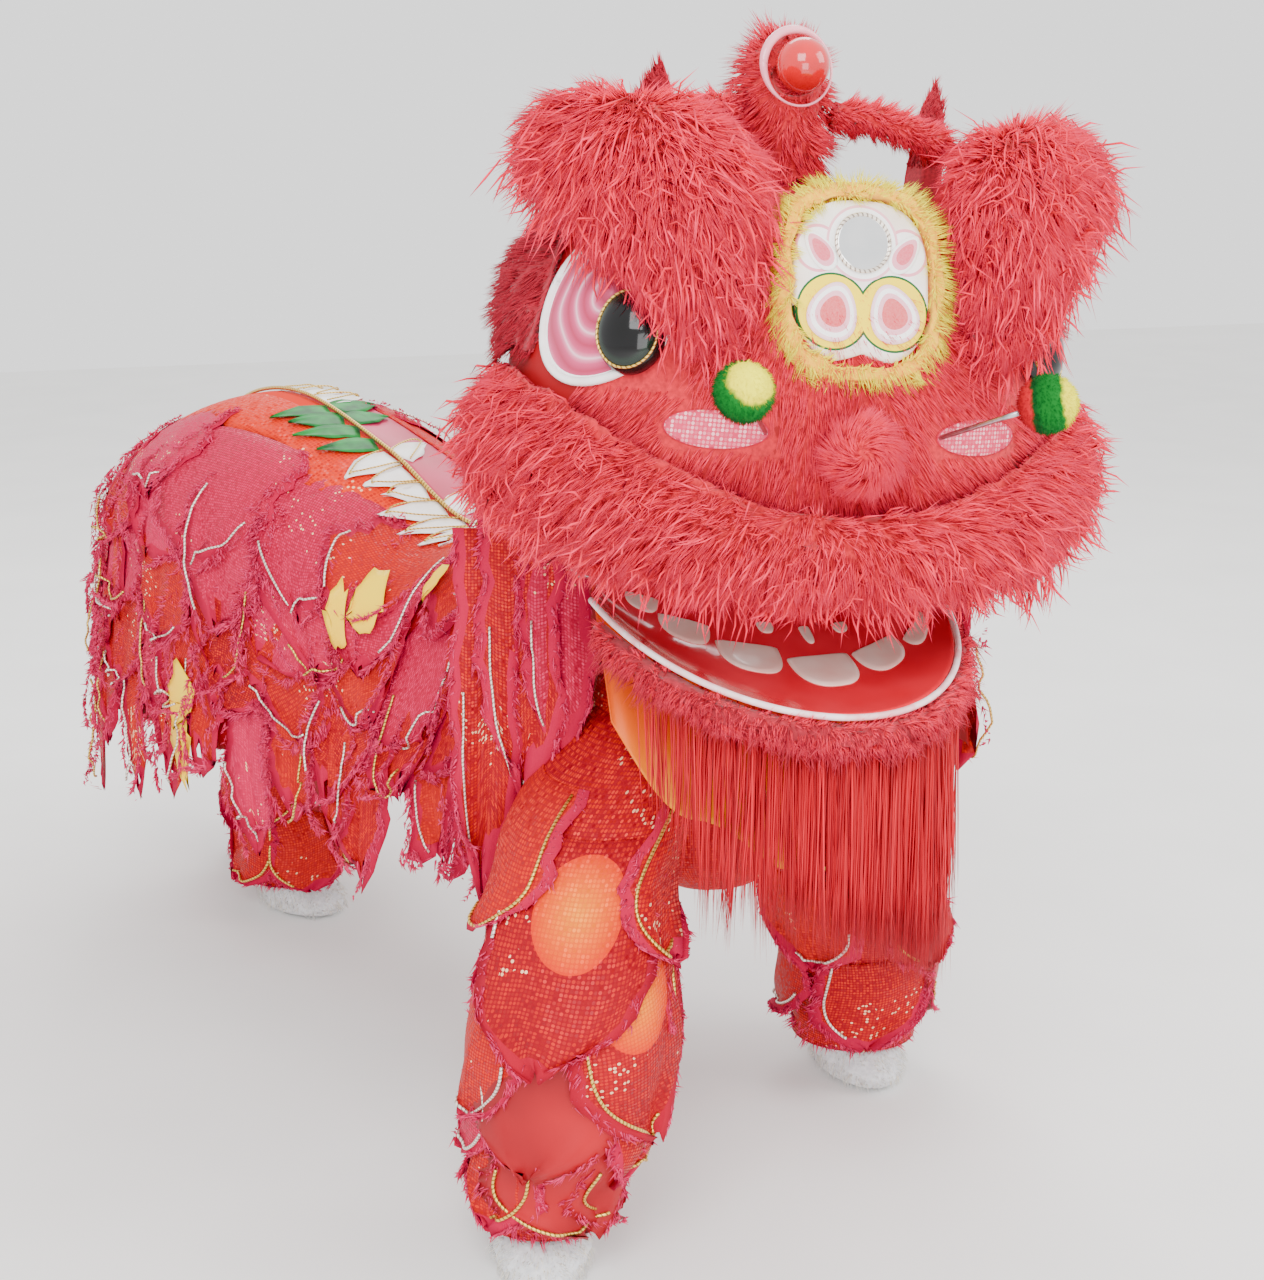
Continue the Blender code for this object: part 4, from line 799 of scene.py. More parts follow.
def wool_parts(bundles, width, seed):
    roots, first, last, longs = (np.concatenate(part) for part in zip(*bundles))
    return hairs(roots, first, last, longs, width, 5, 0.55, seed, 1)


def sequins(tree, weave, pitch):
    """Rows of sequins over cloth: a mask of their discs, a chance colour for each, and a tilted normal."""
    big = vector_maths(tree, "MULTIPLY", weave, (1 / pitch, 1 / pitch, 1))
    cell = node(tree, "ShaderNodeTexVoronoi", {"Vector": big, "Scale": 1.0, "Randomness": 0.0})
    disc = maths(tree, "LESS_THAN", cell.outputs["Distance"], 0.40)
    off = vector_maths(tree, "SUBTRACT", cell.outputs["Color"], (0.5, 0.5, 0.5))
    small = node(tree, "ShaderNodeVectorMath", {0: off}, operation="SCALE")
    small.inputs["Scale"].default_value = 0.55
    look = node(tree, "ShaderNodeNewGeometry").outputs["Normal"]
    tilted = vector_maths(tree, "ADD", look, small.outputs[0])
    return disc, cell.outputs["Color"], vector_maths(tree, "NORMALIZE", tilted)


PAINTED_GLINT_CUT = 1.97  # of a chance value of 0 to 1 and a cloud of 0 to 1.7: how few sequins get a painted glint
# The colour of a painted glint: light caught on a sequin, put into its base colour.
PAINTED_GLINT = "FFC094"


def sequin_finish(name, stops, sequin, border, pitch=0.0042):
    """Net cloth with rows of sequins, coloured by the flap's tint, with a border of wool felt."""
    material, tree, shader = finish_of(name, 0.5, Specular_IOR_Level=0.14)
    zone = strand_of(tree)
    disc, chance, tilted = sequins(tree, uv_of(tree, "weave"), pitch)
    cloud = noise(tree, 9.0, 3.0)
    mixed = maths(tree, "ADD", maths(tree, "MULTIPLY", zone.outputs[0], 0.75),
                  maths(tree, "MULTIPLY", cloud, 0.30))
    cloth = ramp(tree, mixed, stops)
    thread = noise(tree, 420.0, 1.0)
    cloth = blend(tree, maths(tree, "MULTIPLY", thread, 0.35), cloth, tone(border))
    lot = node(tree, "ShaderNodeSeparateXYZ", {0: chance}).outputs
    # Painted glint: a few sequins, in patches where the cloud is high, take a bright colour that stands for
    # light caught on them.
    painted_glint = maths(tree, "ADD", lot[0], maths(tree, "MULTIPLY", cloud, 1.7))
    painted_glint = maths(tree, "GREATER_THAN", painted_glint, PAINTED_GLINT_CUT)
    sequins_with_painted_glint = blend(tree, painted_glint, blend(tree, lot[1], tone(sequin), cloth), tone(PAINTED_GLINT))
    inside = maths(tree, "GREATER_THAN", zone.outputs[1], 0.15)
    dots = maths(tree, "MULTIPLY", disc, inside)
    colour = blend(tree, inside, tone(border), blend(tree, disc, cloth, sequins_with_painted_glint))
    tree.links.new(colour, shader.inputs["Base Color"])
    tree.links.new(maths(tree, "MULTIPLY", dots, 0.10), shader.inputs["Metallic"])
    rough = node(tree, "ShaderNodeMapRange", {0: dots, 3: 0.85, 4: 0.38}).outputs[0]
    tree.links.new(rough, shader.inputs["Roughness"])
    still = node(tree, "ShaderNodeNewGeometry").outputs["Normal"]
    turned = node(tree, "ShaderNodeMix", {0: dots, 4: still, 5: tilted}, data_type="VECTOR").outputs[1]
    tree.links.new(turned, shader.inputs["Normal"])
    return material


def cord_finish(name, light, dark):
    """Twisted metallised cord, its plies shown as slanting stripes."""
    material, tree, shader = finish_of(name, 0.34, Metallic=0.75)
    run = strand_of(tree)
    turn = maths(tree, "ADD", run.outputs[0], maths(tree, "MULTIPLY", run.outputs[1], 170.0))
    stripe = maths(tree, "PINGPONG", turn, 0.5)
    colour_by(tree, shader, stripe, [(0.05, dark), (0.25, light)])
    return material


def satin_finish(name, dark, light, rough=0.38, scale=6.0):
    """Satin: smooth, with a soft sheen and a faint change of colour in broad patches."""
    material, tree, shader = finish_of(name, rough, Specular_IOR_Level=0.28)
    colour_by(tree, shader, noise(tree, scale), [(0.35, dark), (0.65, light)])
    relief(tree, shader, noise(tree, 900.0, 1.0), 0.15, 0.0005)
    return material


HEAD_SPACE = Matrix.Rotation(-TILT, 4, "Y")


def in_head(points, margin):
    """Whether points lie inside the head's outer skin, grown by a margin."""
    local = points @ np.array(HEAD_SPACE.to_3x3()).T
    heights = [row[0] for row in HEAD]
    half, front, back = (np.interp(local[:, 2], heights, [row[k] for row in HEAD]) for k in (1, 2, 3))
    far, end = local[:, 1] - HEAD_MIDDLE, np.where(local[:, 1] < HEAD_MIDDLE, front, back) - HEAD_MIDDLE
    across, along = np.abs(local[:, 0]) / (half + margin), np.abs(far) / (np.abs(end) + margin)
    inside = across**HEAD_POWER + along**HEAD_POWER < 1
    return inside & (local[:, 2] > heights[0]) & (local[:, 2] < heights[-1] + margin)


CAPE_WALL = 0.002
red_satin = satin_finish("red_satin", "880010", "B40018", 0.5)
rows, columns = 65, 49
run, down = np.meshgrid(np.linspace(0, RUN[-1], rows), np.linspace(-1, 1, columns), indexing="ij")
ends = {side: np.interp(run, RUN, FLANKS[side][2]) for side in (-1, 1)}
layers = []
for out in (0.0, -CAPE_WALL):
    left = over_flank(1, run, np.maximum(down, 0) * ends[1], np.full(run.shape, out))
    right = over_flank(-1, run, np.maximum(-down, 0) * ends[-1], np.full(run.shape, out))
    layers.append(np.where((down > 0)[..., None], left, right))
points = np.concatenate([layer.reshape(-1, 3) for layer in layers])
weave = np.stack([run.reshape(-1), (down * ends[1]).reshape(-1)], 1)
top = grid_faces(rows, columns)
top = top[~in_head(points[top].mean(axis=1), 0.002)]
used, faces = np.unique(walled(top, rows * columns), return_inverse=True)
faces = facing(points[used], faces.reshape(-1, 3), points[top[0, 0]] - points[top[0, 0] + rows * columns])
body_cloth = mesh_of("body_cloth", points[used], faces, {"weave": np.tile(weave, (2, 1))[used]},
                     np.zeros(len(faces), dtype=int), [red_satin])


def cut_by_head(made, margin):
    """Cuts away what would lie inside the head. The cut edge lies against the head, which hides it."""
    shape = bmesh.new()
    shape.from_mesh(made.data)
    middles = np.array([face.calc_center_median() for face in shape.faces])
    gone = in_head(middles, margin)
    shape.faces.ensure_lookup_table()
    bmesh.ops.delete(shape, geom=[shape.faces[i] for i in np.nonzero(gone)[0]], context="FACES")
    shape.to_mesh(made.data)
    shape.free()


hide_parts("cape_cloth")
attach(body_cloth, "head_and_body")

# Flaps on the flanks: net cloth with sequins over satin, cut as leaves, each edged with crimson wool
# and with a silver or gold cord sewn inside its edge. They hang in tiers, the lowest as ragged tails.
wool = fur_finish("crimson_wool", "9C0034", "CC0048", "EC0C60", "FF3478", rough=0.9)
pink_net = sequin_finish("pink_sequin_net", [(0.0, "8C0028"), (0.5, "B00434"), (1.0, "C8184C")], "D82458",
                         "B8003C")
red_net = sequin_finish("red_sequin_net", [(0.0, "6C0008"), (0.5, "980208"), (1.0, "C42400")], "D82408",
                        "B8003C")
silver_cord = cord_finish("silver_cord", "F4EADC", "8C7A70")
gold_cord = cord_finish("gold_cord", "E8C060", "7A5414")
yellow_satin = satin_finish("yellow_satin", "FFC000", "FFD800")
CLOTH_KIT = [pink_net, red_net, silver_cord, gold_cord, yellow_satin]
TIERS = [  # top as a share of the flank, number, width, length, first run, pink share, stands, full to
    (0.185, 7, 0.280, 0.240, 0.30, 0.85, (0.0035, 0.010), 0.42),
    (0.33, 9, 0.215, 0.235, 0.22, 0.50, (0.0030, 0.013), 0.45),
    (0.49, 10, 0.195, 0.225, 0.14, 0.25, (0.0030, 0.014), 0.50),
    (0.64, 12, 0.165, 0.225, 0.08, 0.12, (0.0030, 0.015), 0.55),
    (0.76, 16, 0.098, 0.300, 0.04, 0.15, (0.0030, 0.016), 0.78),
]
HANG = 0.150  # how far the lowest flaps hang past the hem at most
FLANK_LONG = 0.85  # the flank's length where flaps have their full length
SCRAPS = [  # bits of yellow lining between the flaps: run, down, width, length, lean in degrees
    (0.599, 0.205, 0.100, 0.060, 55), (0.657, 0.250, 0.075, 0.036, 70), (1.028, 0.540, 0.075, 0.095, 20),
    (1.045, 0.620, 0.062, 0.085, -25), (0.426, 0.250, 0.055, 0.045, 30), (0.100, 0.500, 0.050, 0.050, -20),
]
NECK = [  # flaps round the front edge of the cloth, beside the wearer's leg: x, top, width, length, cloth
    (-0.262, -0.100, 0.095, 0.300, 0), (-0.345, -0.120, 0.090, 0.470, 1), (-0.305, -0.080, 0.110, 0.380, 1),
]


def spaced(side, share, first, count, half):
    """Even steps along the cloth at a share down its flank, and how far the run grows for a metre there."""
    runs = np.linspace(first, RUN[-1] - 0.07, 200)
    line = over_flank(side, runs, share * np.interp(runs, RUN, FLANKS[side][2]), 0 * runs)
    far = np.concatenate([[0], np.cumsum(np.linalg.norm(np.diff(line, axis=0), axis=1))])
    wanted = far[-1] * (np.arange(count) + half) / (count - 0.5)
    return np.interp(wanted, far, runs), np.clip(np.interp(wanted, far, np.gradient(runs, far)), 0.5, 2.5)


def flap_rows(name, side, tiers, replaced, seed, kit):
    """Tiers of flaps on one flank as one piece; kit has each flap's grid and its number of wool hairs."""
    chance = np.random.default_rng(seed)
    pile, bundles = Pile(), []
    across, along, wool_count = kit
    for number in tiers:
        top, count, wide, long, start, pink, stand, full = TIERS[number]
        for k, (run, scale) in enumerate(zip(*spaced(side, top + 0.12, start, count, 0.5 * (number % 2)))):
            end = float(np.interp(run, RUN, FLANKS[side][2]))
            room = end + (HANG * (0.15 + 0.85 * chance.random()) if number == 4 else 0.02) - top * end
            length = min(long * (0.80 + 0.40 * chance.random()) * (0.35 + 0.65 * end / FLANK_LONG), room)
            length = room if number == 4 else length
            width = wide * (0.80 + 0.36 * chance.random())
            lift = (stand[0] + 0.0028 * (k % 2), stand[1] + 0.005 * (k % 2))

            def place(a, d, out, run=run, scale=scale, top=top * end + 0.03 * chance.random() - 0.015):
                return over_flank(side, run + a * scale, top + d, out)

            flap = Flap(place, width, length, lift, chance, point=2.4 if number < 4 else 2.0,
                        lean=math.radians(chance.normal() * (12 if number < 4 else 7)), tint=chance.random(),
                        wave=0.0115 if number else 0.007, full=full, torn=0.065 if number < 4 else 0.11)
            flap.cloth(pile, 0 if chance.random() < pink else 1, across, along)
            cord = 2 if chance.random() < 0.75 else 3
            begin, part = chance.random() * 0.7, 0.22 + 0.35 * chance.random()
            if chance.random() < 0.85:
                flap.cord(pile, cord, (begin, min(begin + part, 1.0)))
            bundles.append(flap.wool(wool_count, chance, 0.018))
    if name == "middle_flaps_R":
        for run, down, wide, long, lean in SCRAPS:
            def place(a, d, out, run=run, down=down):
                return over_flank(side, run + a, down + d, out)

            scrap = Flap(place, wide, long, (0.030, 0.034), chance, point=1.6, wave=0.003,
                         lean=math.radians(lean), tint=0.5, full=0.5, torn=0.14)
            scrap.cloth(pile, 4, 7, 8)
        for x, top, wide, long, kind in NECK:
            def place(a, d, out, x=x, top=top):
                aside, ahead = x + 0.94 * a - 0.34 * out, 0.012 - 0.35 * x - 0.34 * a - 0.94 * out
                return np.stack([aside, ahead, top - d], axis=-1)

            flap = Flap(place, wide, long, (0.002, 0.020), chance, point=2.0, tint=0.3, full=0.7, torn=0.10)
            flap.cloth(pile, kind, across, along)
            flap.cord(pile, 2, (0.15, 0.55))
            bundles.append(flap.wool(wool_count, chance, 0.018))
    made = pile.made(name, CLOTH_KIT)
    cut_by_head(made, 0.004)
    add_hairs(made, wool_parts(bundles, 0.0044, seed + 1), wool)
    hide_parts(*replaced)
    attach(made, "head_and_body")


for side, letter, kit in ((-1, "R", (9, 15, 360)), (1, "L", (7, 11, 130))):
    flap_rows("upper_flaps_" + letter, side, (0, 1), ["cape_flaps_" + letter + "1"], 300 + side, kit)
    flap_rows("middle_flaps_" + letter, side, (2,), ["cape_flaps_" + letter + "2"], 310 + side, kit)
    flap_rows("hem_flaps_" + letter, side, (3, 4), ["cape_flaps_" + letter + "3"], 320 + side, kit)

# Flame strip along the back: orange satin with rows of sequins on the lion's right of a gold cord, pink
# satin on its left, and flame tongues in green and in white that is edged with gold, sewn along the cord.
orange_net = sequin_finish("orange_sequin_satin", [(0.0, "D01C00"), (0.5, "E42C00"), (1.0, "F84808")],
                           "B80C04", "D82400", 0.006)
pink_satin = satin_finish("pink_satin", "B00C3C", "DC3C6C", 0.35, 5.0)
green_felt = satin_finish("green_flame_satin", "00501C", "008C34", 0.5, 30.0)
white_felt = satin_finish("white_flame_satin", "F6F2EC", "FFFFFF", 0.5, 30.0)
STRIP_HALF, STRIP_TOOTH, HALF_TEETH = 0.118, 0.030, 9.0  # width of one side, its teeth, teeth in a metre
FLAMES, FLAMES_FROM, FLAMES_LONG = 17, 0.40, 0.80
WHITE_UNTIL, WHITE_FROM = 0.86, 1.04  # the flames between these runs are green
strip = Pile()
first_run, last_run = np.interp([2.0, 8.0], STATIONS, RUN)
for side, mark in ((-1, 0), (1, 1)):
    run, share = np.meshgrid(np.linspace(first_run, last_run, 91), np.linspace(0, 1, 9), indexing="ij")
    tooth = np.abs((run * HALF_TEETH) % 2 - 1)
    down = share * (STRIP_HALF + STRIP_TOOTH * tooth)
    ridge = 0.0012 * np.sin(run * 210) * share
    outer = over_flank(side, run, down, 0.0036 + ridge)
    inner = over_flank(side, run, down, 0.0018 + ridge)
    points, faces = wall_between(outer, inner)
    weave = np.stack([run.reshape(-1), down.reshape(-1)], 1)
    zone = np.stack([np.full(run.size, 0.5), np.minimum(10.0 * np.abs(down.reshape(-1) - 0.02), 0.4)], 1)
    strip.add(points, faces, np.tile(weave, (2, 1)), np.tile(zone, (2, 1)), mark)
chance = np.random.default_rng(400)
for k in range(FLAMES):
    run = FLAMES_FROM + FLAMES_LONG * (k + 0.5) / FLAMES
    white = run < WHITE_UNTIL or run > WHITE_FROM
    for side in (-1, 1):
        if run > WHITE_FROM and side < 0 or run < 1.0 and side > 0 and k % 3:
            continue

        def place(a, d, out, run=run, side=side):
            return over_flank(side, run + a, 0.006 + d, out)

        flame = Flap(place, 0.044 + 0.016 * chance.random(), 0.066 + 0.040 * chance.random(),
                     (0.0044, 0.0066), chance, point=0.9, wave=0.0012,
                     lean=math.radians(24 + 9 * chance.normal()), tint=0.5, torn=0.03)
        flame.cloth(strip, 2 if white else 3, 5, 10, 0.0009)
        if white:
            flame.cord(strip, 4, (0.0, 1.0), 0.003, 20, 0.0013)
run, top = np.linspace(first_run, last_run, 140), np.zeros(140)
path, lifted = over_flank(-1, run, top, top + 0.0065), over_flank(-1, run, top, top + 0.02)
points, faces, uvs = cord_parts(path, unit(lifted - path), 0.0032, 8)
strip.add(points, faces, uvs, uvs, 4)
flame_strip = strip.made("flame_strip", [orange_net, pink_satin, white_felt, green_felt, gold_cord])
cut_by_head(flame_strip, 0.004)
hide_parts("cape_spine")
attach(flame_strip, "head_and_body")

# Head shell: red cloth glued over a papier-mache mould, open below and at the back for the wearer. Short
# red pile covers its front round the nose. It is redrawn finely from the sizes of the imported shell.
TURN = np.array(Matrix.Rotation(TILT, 3, "Y"))
DOOR_HALF, DOOR_TOP = 0.170, 0.100
PATCH_HALF = 0.062
EYES_FROM, EYES_PAST = 0.085, 0.185  # height, and distance to the side, where the eyes' sockets begin
HEAD_ROWS = np.array(HEAD)
LEVELS = []
for height in np.linspace(-0.160, 0.300, 93):
    at = np.interp(height, HEAD_ROWS[:, 0], np.arange(len(HEAD_ROWS)))
    LEVELS.append([height, *table_at(HEAD_ROWS, at)[1:]])
LEVELS = np.array(LEVELS)


def to_world(points):
    """Points of the upright head where it leans."""
    return points @ TURN.T


def skin(turn, height, out=0.0):
    """Points of the head's skin before it leans; turn is 0 at the nose and grows to the lion's left."""
    turn, height, out = np.broadcast_arrays(turn, height, out)

    def plain(turn, height):
        half, front, back = (np.interp(height, LEVELS[:, 0], LEVELS[:, k]) for k in (1, 2, 3))
        sine, cosine = np.sin(turn), np.cos(turn)
        power = 2 / HEAD_POWER
        x = half * np.sign(sine) * np.abs(sine)**power
        y = HEAD_MIDDLE + (np.where(cosine > 0, front, back) - HEAD_MIDDLE) * np.abs(cosine)**power
        return np.stack([x, y, height + 0 * x], axis=-1)

    point, step = plain(turn, height), 0.012
    along = plain(turn + step, height) - plain(turn - step, height)
    rise = plain(turn, height + step) - plain(turn, height - step)
    return point + unit(np.cross(along, rise)) * out[..., None]


turns, levels = 84, 36
turn, height = np.meshgrid(round_of(turns), np.linspace(-0.160, 0.2995, levels), indexing="ij")
points = skin(turn, height).reshape(-1, 3)
index = np.arange(turns * levels).reshape(turns, levels)
after = np.roll(index, -1, axis=0)
faces = np.concatenate([np.stack([index[:, :-1], after[:, :-1], after[:, 1:]], 2).reshape(-1, 3),
                        np.stack([index[:, :-1], after[:, 1:], index[:, 1:]], 2).reshape(-1, 3)])
crown = np.array([[0, 0.02, 0.305]])
top = [(index[j, -1], after[j, -1], len(points)) for j in range(turns)]
points, faces = np.concatenate([points, crown]), np.concatenate([faces, np.array(top)])
middles = points[faces].mean(axis=1)
wide = DOOR_HALF * (1 - 0.2 * (middles[:, 2] + 0.30) / 0.40)
door = (np.abs(middles[:, 0]) < wide) & (middles[:, 1] > 0.10) & (middles[:, 2] < DOOR_TOP)
shell_cloth = satin_finish("red_head_cloth", "98000E", "A80014", 0.6, 5.0)
faces = facing(points, faces[~door], np.array([0, -1.0, 0]))
shell = mesh_of("head_shell_cloth", to_world(points), faces, {}, np.zeros(len(faces), dtype=int),
                [shell_cloth])
wall = shell.modifiers.new("wall", "SOLIDIFY")
wall.thickness, wall.offset = 0.004, -1.0
deselect()
shell.select_set(True)
bpy.context.view_layer.objects.active = shell
bpy.ops.object.modifier_apply(modifier="wall")


def joined(made, *others):
    """Joins other pieces to a piece."""
    deselect()
    for other in others:
        other.select_set(True)
    made.select_set(True)
    bpy.context.view_layer.objects.active = made
    bpy.ops.object.join()


def off_patch(roots, looks):
    """The shell's front without the places of the sequin patches and of the eyes' sockets."""
    local = roots @ TURN
    across, up = np.abs(local[:, 0]), local[:, 2]
    patch = (np.abs(across - 0.150) < PATCH_HALF) & (np.abs(up - 0.050) < 0.024)
    return ~patch & ((up < EYES_FROM) | (across < EYES_PAST))


turn, height = np.meshgrid(np.linspace(-1.02, 1.02, 41), np.linspace(-0.06, 0.27, 15), indexing="ij")
ground = to_world(skin(turn, height, 0.0006).reshape(-1, 3))
face_pile = mesh_of("face_pile", ground, facing(ground, grid_faces(41, 15), np.array([-0.5, -1.0, 0])), {},
                    np.zeros(40 * 14 * 2, dtype=int), [coral_backing])
coat(face_pile, coral_fur, 11500, 0.040, 0.0031,
     lambda points, looks: np.stack([points[:, 0] * 3.5, 0 * points[:, 0] - 0.1, 0 * points[:, 0] - 0.6], 1),
     240, lift=0.42, keep=off_patch, tuft=20, rings=1)
joined(shell, face_pile)
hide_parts("head_shell")
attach(shell, "head_and_body")


# Eyes: a pink satin socket with swirling white lines and a thick white piped edge, and in it a dark
# glossy dome with a gold ring. Each is a low dome on the shell; the brow pad hides its upper part.
EYE = {"turn": 0.93, "height": 0.178, "half_turn": 0.36, "half_height": 0.100, "lean": -0.35}
EYEBALL = {"turn": 0.80, "height": 0.140, "half_turn": 0.150, "half_height": 0.047, "lean": 0.0}
PATCH = {"turn": 0.44, "height": 0.044, "half_turn": 0.19, "half_height": 0.022, "lean": 0.0}


def lens_at(where, side, share, angle, out):
    """Points of an oval on the head's skin, by the share from its middle."""
    across, up = share * np.cos(angle), share * np.sin(angle)
    turn = where["turn"] + where["half_turn"] * across + where["lean"] * up * where["half_turn"]
    point = skin(turn, where["height"] + where["half_height"] * up, out)
    return to_world(point * np.array([side, 1.0, 1.0]))


def disc_faces(rings, spokes):
    """Triangles of a disc: a middle point, then rings of points."""
    j = np.arange(spokes)
    k = (j + 1) % spokes
    faces = [np.stack([np.zeros(spokes, dtype=int), 1 + j, 1 + k], 1)]
    for i in range(rings - 1):
        low = 1 + i * spokes
        faces += [np.stack([low + j, low + spokes + j, low + spokes + k], 1),
                  np.stack([low + j, low + spokes + k, low + k], 1)]
    return np.concatenate(faces)


def disc_places(rings, spokes):
    """Shares from the middle, and angles, for the points that disc_faces joins."""
    share = np.concatenate([[0.0], np.repeat(np.arange(1, rings + 1) / rings, spokes)])
    return share, np.concatenate([[0.0], np.tile(round_of(spokes), rings)])


def set_uv(made, name, rows):
    """Gives a dome a UV row for each point of its top, and the same for its underside."""
    layers = made.data.uv_layers
    layer = layers[name] if name in layers else layers.new(name=name)
    corners = np.empty(len(made.data.loops), dtype=int)
    made.data.loops.foreach_get("vertex_index", corners)
    layer.data.foreach_set("uv", np.tile(rows, (2, 1))[corners].reshape(-1))


def dome(name, surface, height, material, rings=14, spokes=64, base=0.0003):
    """A closed disc, its height given over its share; surface gives points at share, angle and height."""
    share, angle = disc_places(rings, spokes)
    top, under = surface(share, angle, height(share)), surface(share, angle, np.full(share.shape, base))
    points = np.concatenate([top, under])
    faces = disc_faces(rings, spokes)
    half = len(share)
    low = half - spokes
    j = np.arange(spokes)
    k = (j + 1) % spokes
    rim = np.concatenate([np.stack([low + j, low + j + half, low + k + half], 1),
                          np.stack([low + j, low + k + half, low + k], 1)])
    faces = np.concatenate([faces, faces[:, ::-1] + half, rim])
    faces = facing(points, faces, top[0] - under[0])
    uvs = {"strand": np.tile(np.stack([share, angle / (2 * math.pi)], 1), (2, 1))}
    return mesh_of(name, points, faces, uvs, np.zeros(len(faces), dtype=int), [material])


def cord_piece(name, path, looks, radius, material, sides=8, closed=True):
    """A cord as a mesh of its own."""
    if closed:
        path, looks = np.concatenate([path, path[:2]]), np.concatenate([looks, looks[:2]])
    points, faces, uvs = cord_parts(path, looks, radius, sides)
    return mesh_of(name, points, faces, {"strand": uvs}, np.zeros(len(faces), dtype=int), [material])


socket, tree, shader = finish_of("eye_socket_satin", 0.35, Sheen_Weight=0.2)
polar = strand_of(tree)
warp = noise(tree, 9.0, 1.0)
turned = maths(tree, "ADD", maths(tree, "MULTIPLY", polar.outputs[0], 3.6),
               maths(tree, "MULTIPLY", warp, 1.9))
line = maths(tree, "PINGPONG", turned, 0.5)
swirl = ramp(tree, line, [(0.0, "B01C4C"), (0.28, "CC4070"), (0.42, "E07898"), (0.5, "F4BCCC")])
rimmed = maths(tree, "GREATER_THAN", polar.outputs[0], 0.93)
tree.links.new(blend(tree, rimmed, swirl, tone("FFFFFF")), shader.inputs["Base Color"])
white_piping = satin_finish("white_piping", "F4ECEA", "FFFFFF", 0.4, 30.0)

glass, tree, shader = finish_of("black_eye_gloss", 0.12, Specular_IOR_Level=0.2, Coat_Weight=0.35,
                                Coat_Roughness=0.05)
colour_by(tree, shader, strand_of(tree).outputs[0],
          [(0.0, "020202"), (0.60, "08080A"), (0.70, "14241A"), (0.97, "0A0A0C")])

for side, letter in ((-1, "R"), (1, "L")):
    def socket_at(share, angle, out, side=side):
        return lens_at(EYE, side, share, angle, out)

    angle = round_of(72)
    panel = dome("eye_socket_" + letter, socket_at, lambda s: 0.0032 + 0.0010 * np.sqrt(1 - s**2), socket)
    edge, lifted = socket_at(1.0, angle, 0.004), socket_at(1.0, angle, 0.02)
    joined(panel, cord_piece("edge", edge, unit(lifted - edge), 0.0052, white_piping))
    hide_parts("eye_panel_" + letter)
    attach(panel, "head_and_body")

    def ball_at(share, angle, out, side=side):
        return lens_at(EYEBALL, side, share, angle, out + 0.0046)

    eyeball = dome("eyeball_dome_" + letter, ball_at, lambda s: 0.003 + 0.027 * np.sqrt(1 - s**2), glass)
    looks = unit(ball_at(0.84, angle, 0.05) - ball_at(0.84, angle, 0.0))
    joined(eyeball, cord_piece("ring", ball_at(0.84, angle, 0.0185), looks, 0.0016, gold_cord))
    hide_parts("eyeball_" + letter)
    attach(eyeball, "head_and_body")

# Sequin patches beside the nose: net with silver and pink sequins in a border of pink felt.
patch_net = sequin_finish("silver_sequin_net", [(0.0, "C02048"), (0.5, "D83C60"), (1.0, "E4708C")],
                          "FFB8C0", "C81840", 0.005)
for side, letter in ((-1, "R"), (1, "L")):
    def patch_at(share, angle, out, side=side):
        return lens_at(PATCH, side, share, angle, out)

    patch = dome("nose_net_" + letter, patch_at, lambda s: 0.0016 + 0.0004 * np.sqrt(1 - s**2), patch_net,
                 8, 48)
    share, angle = disc_places(8, 48)
    set_uv(patch, "weave", np.stack([share * np.cos(angle) * PATCH_HALF, share * np.sin(angle) * 0.022], 1))
    set_uv(patch, "strand", np.stack([np.full(share.shape, 0.5), 1.0 - 0.88 * share], 1))
    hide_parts("nose_patch_" + letter)
    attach(patch, "head_and_body")

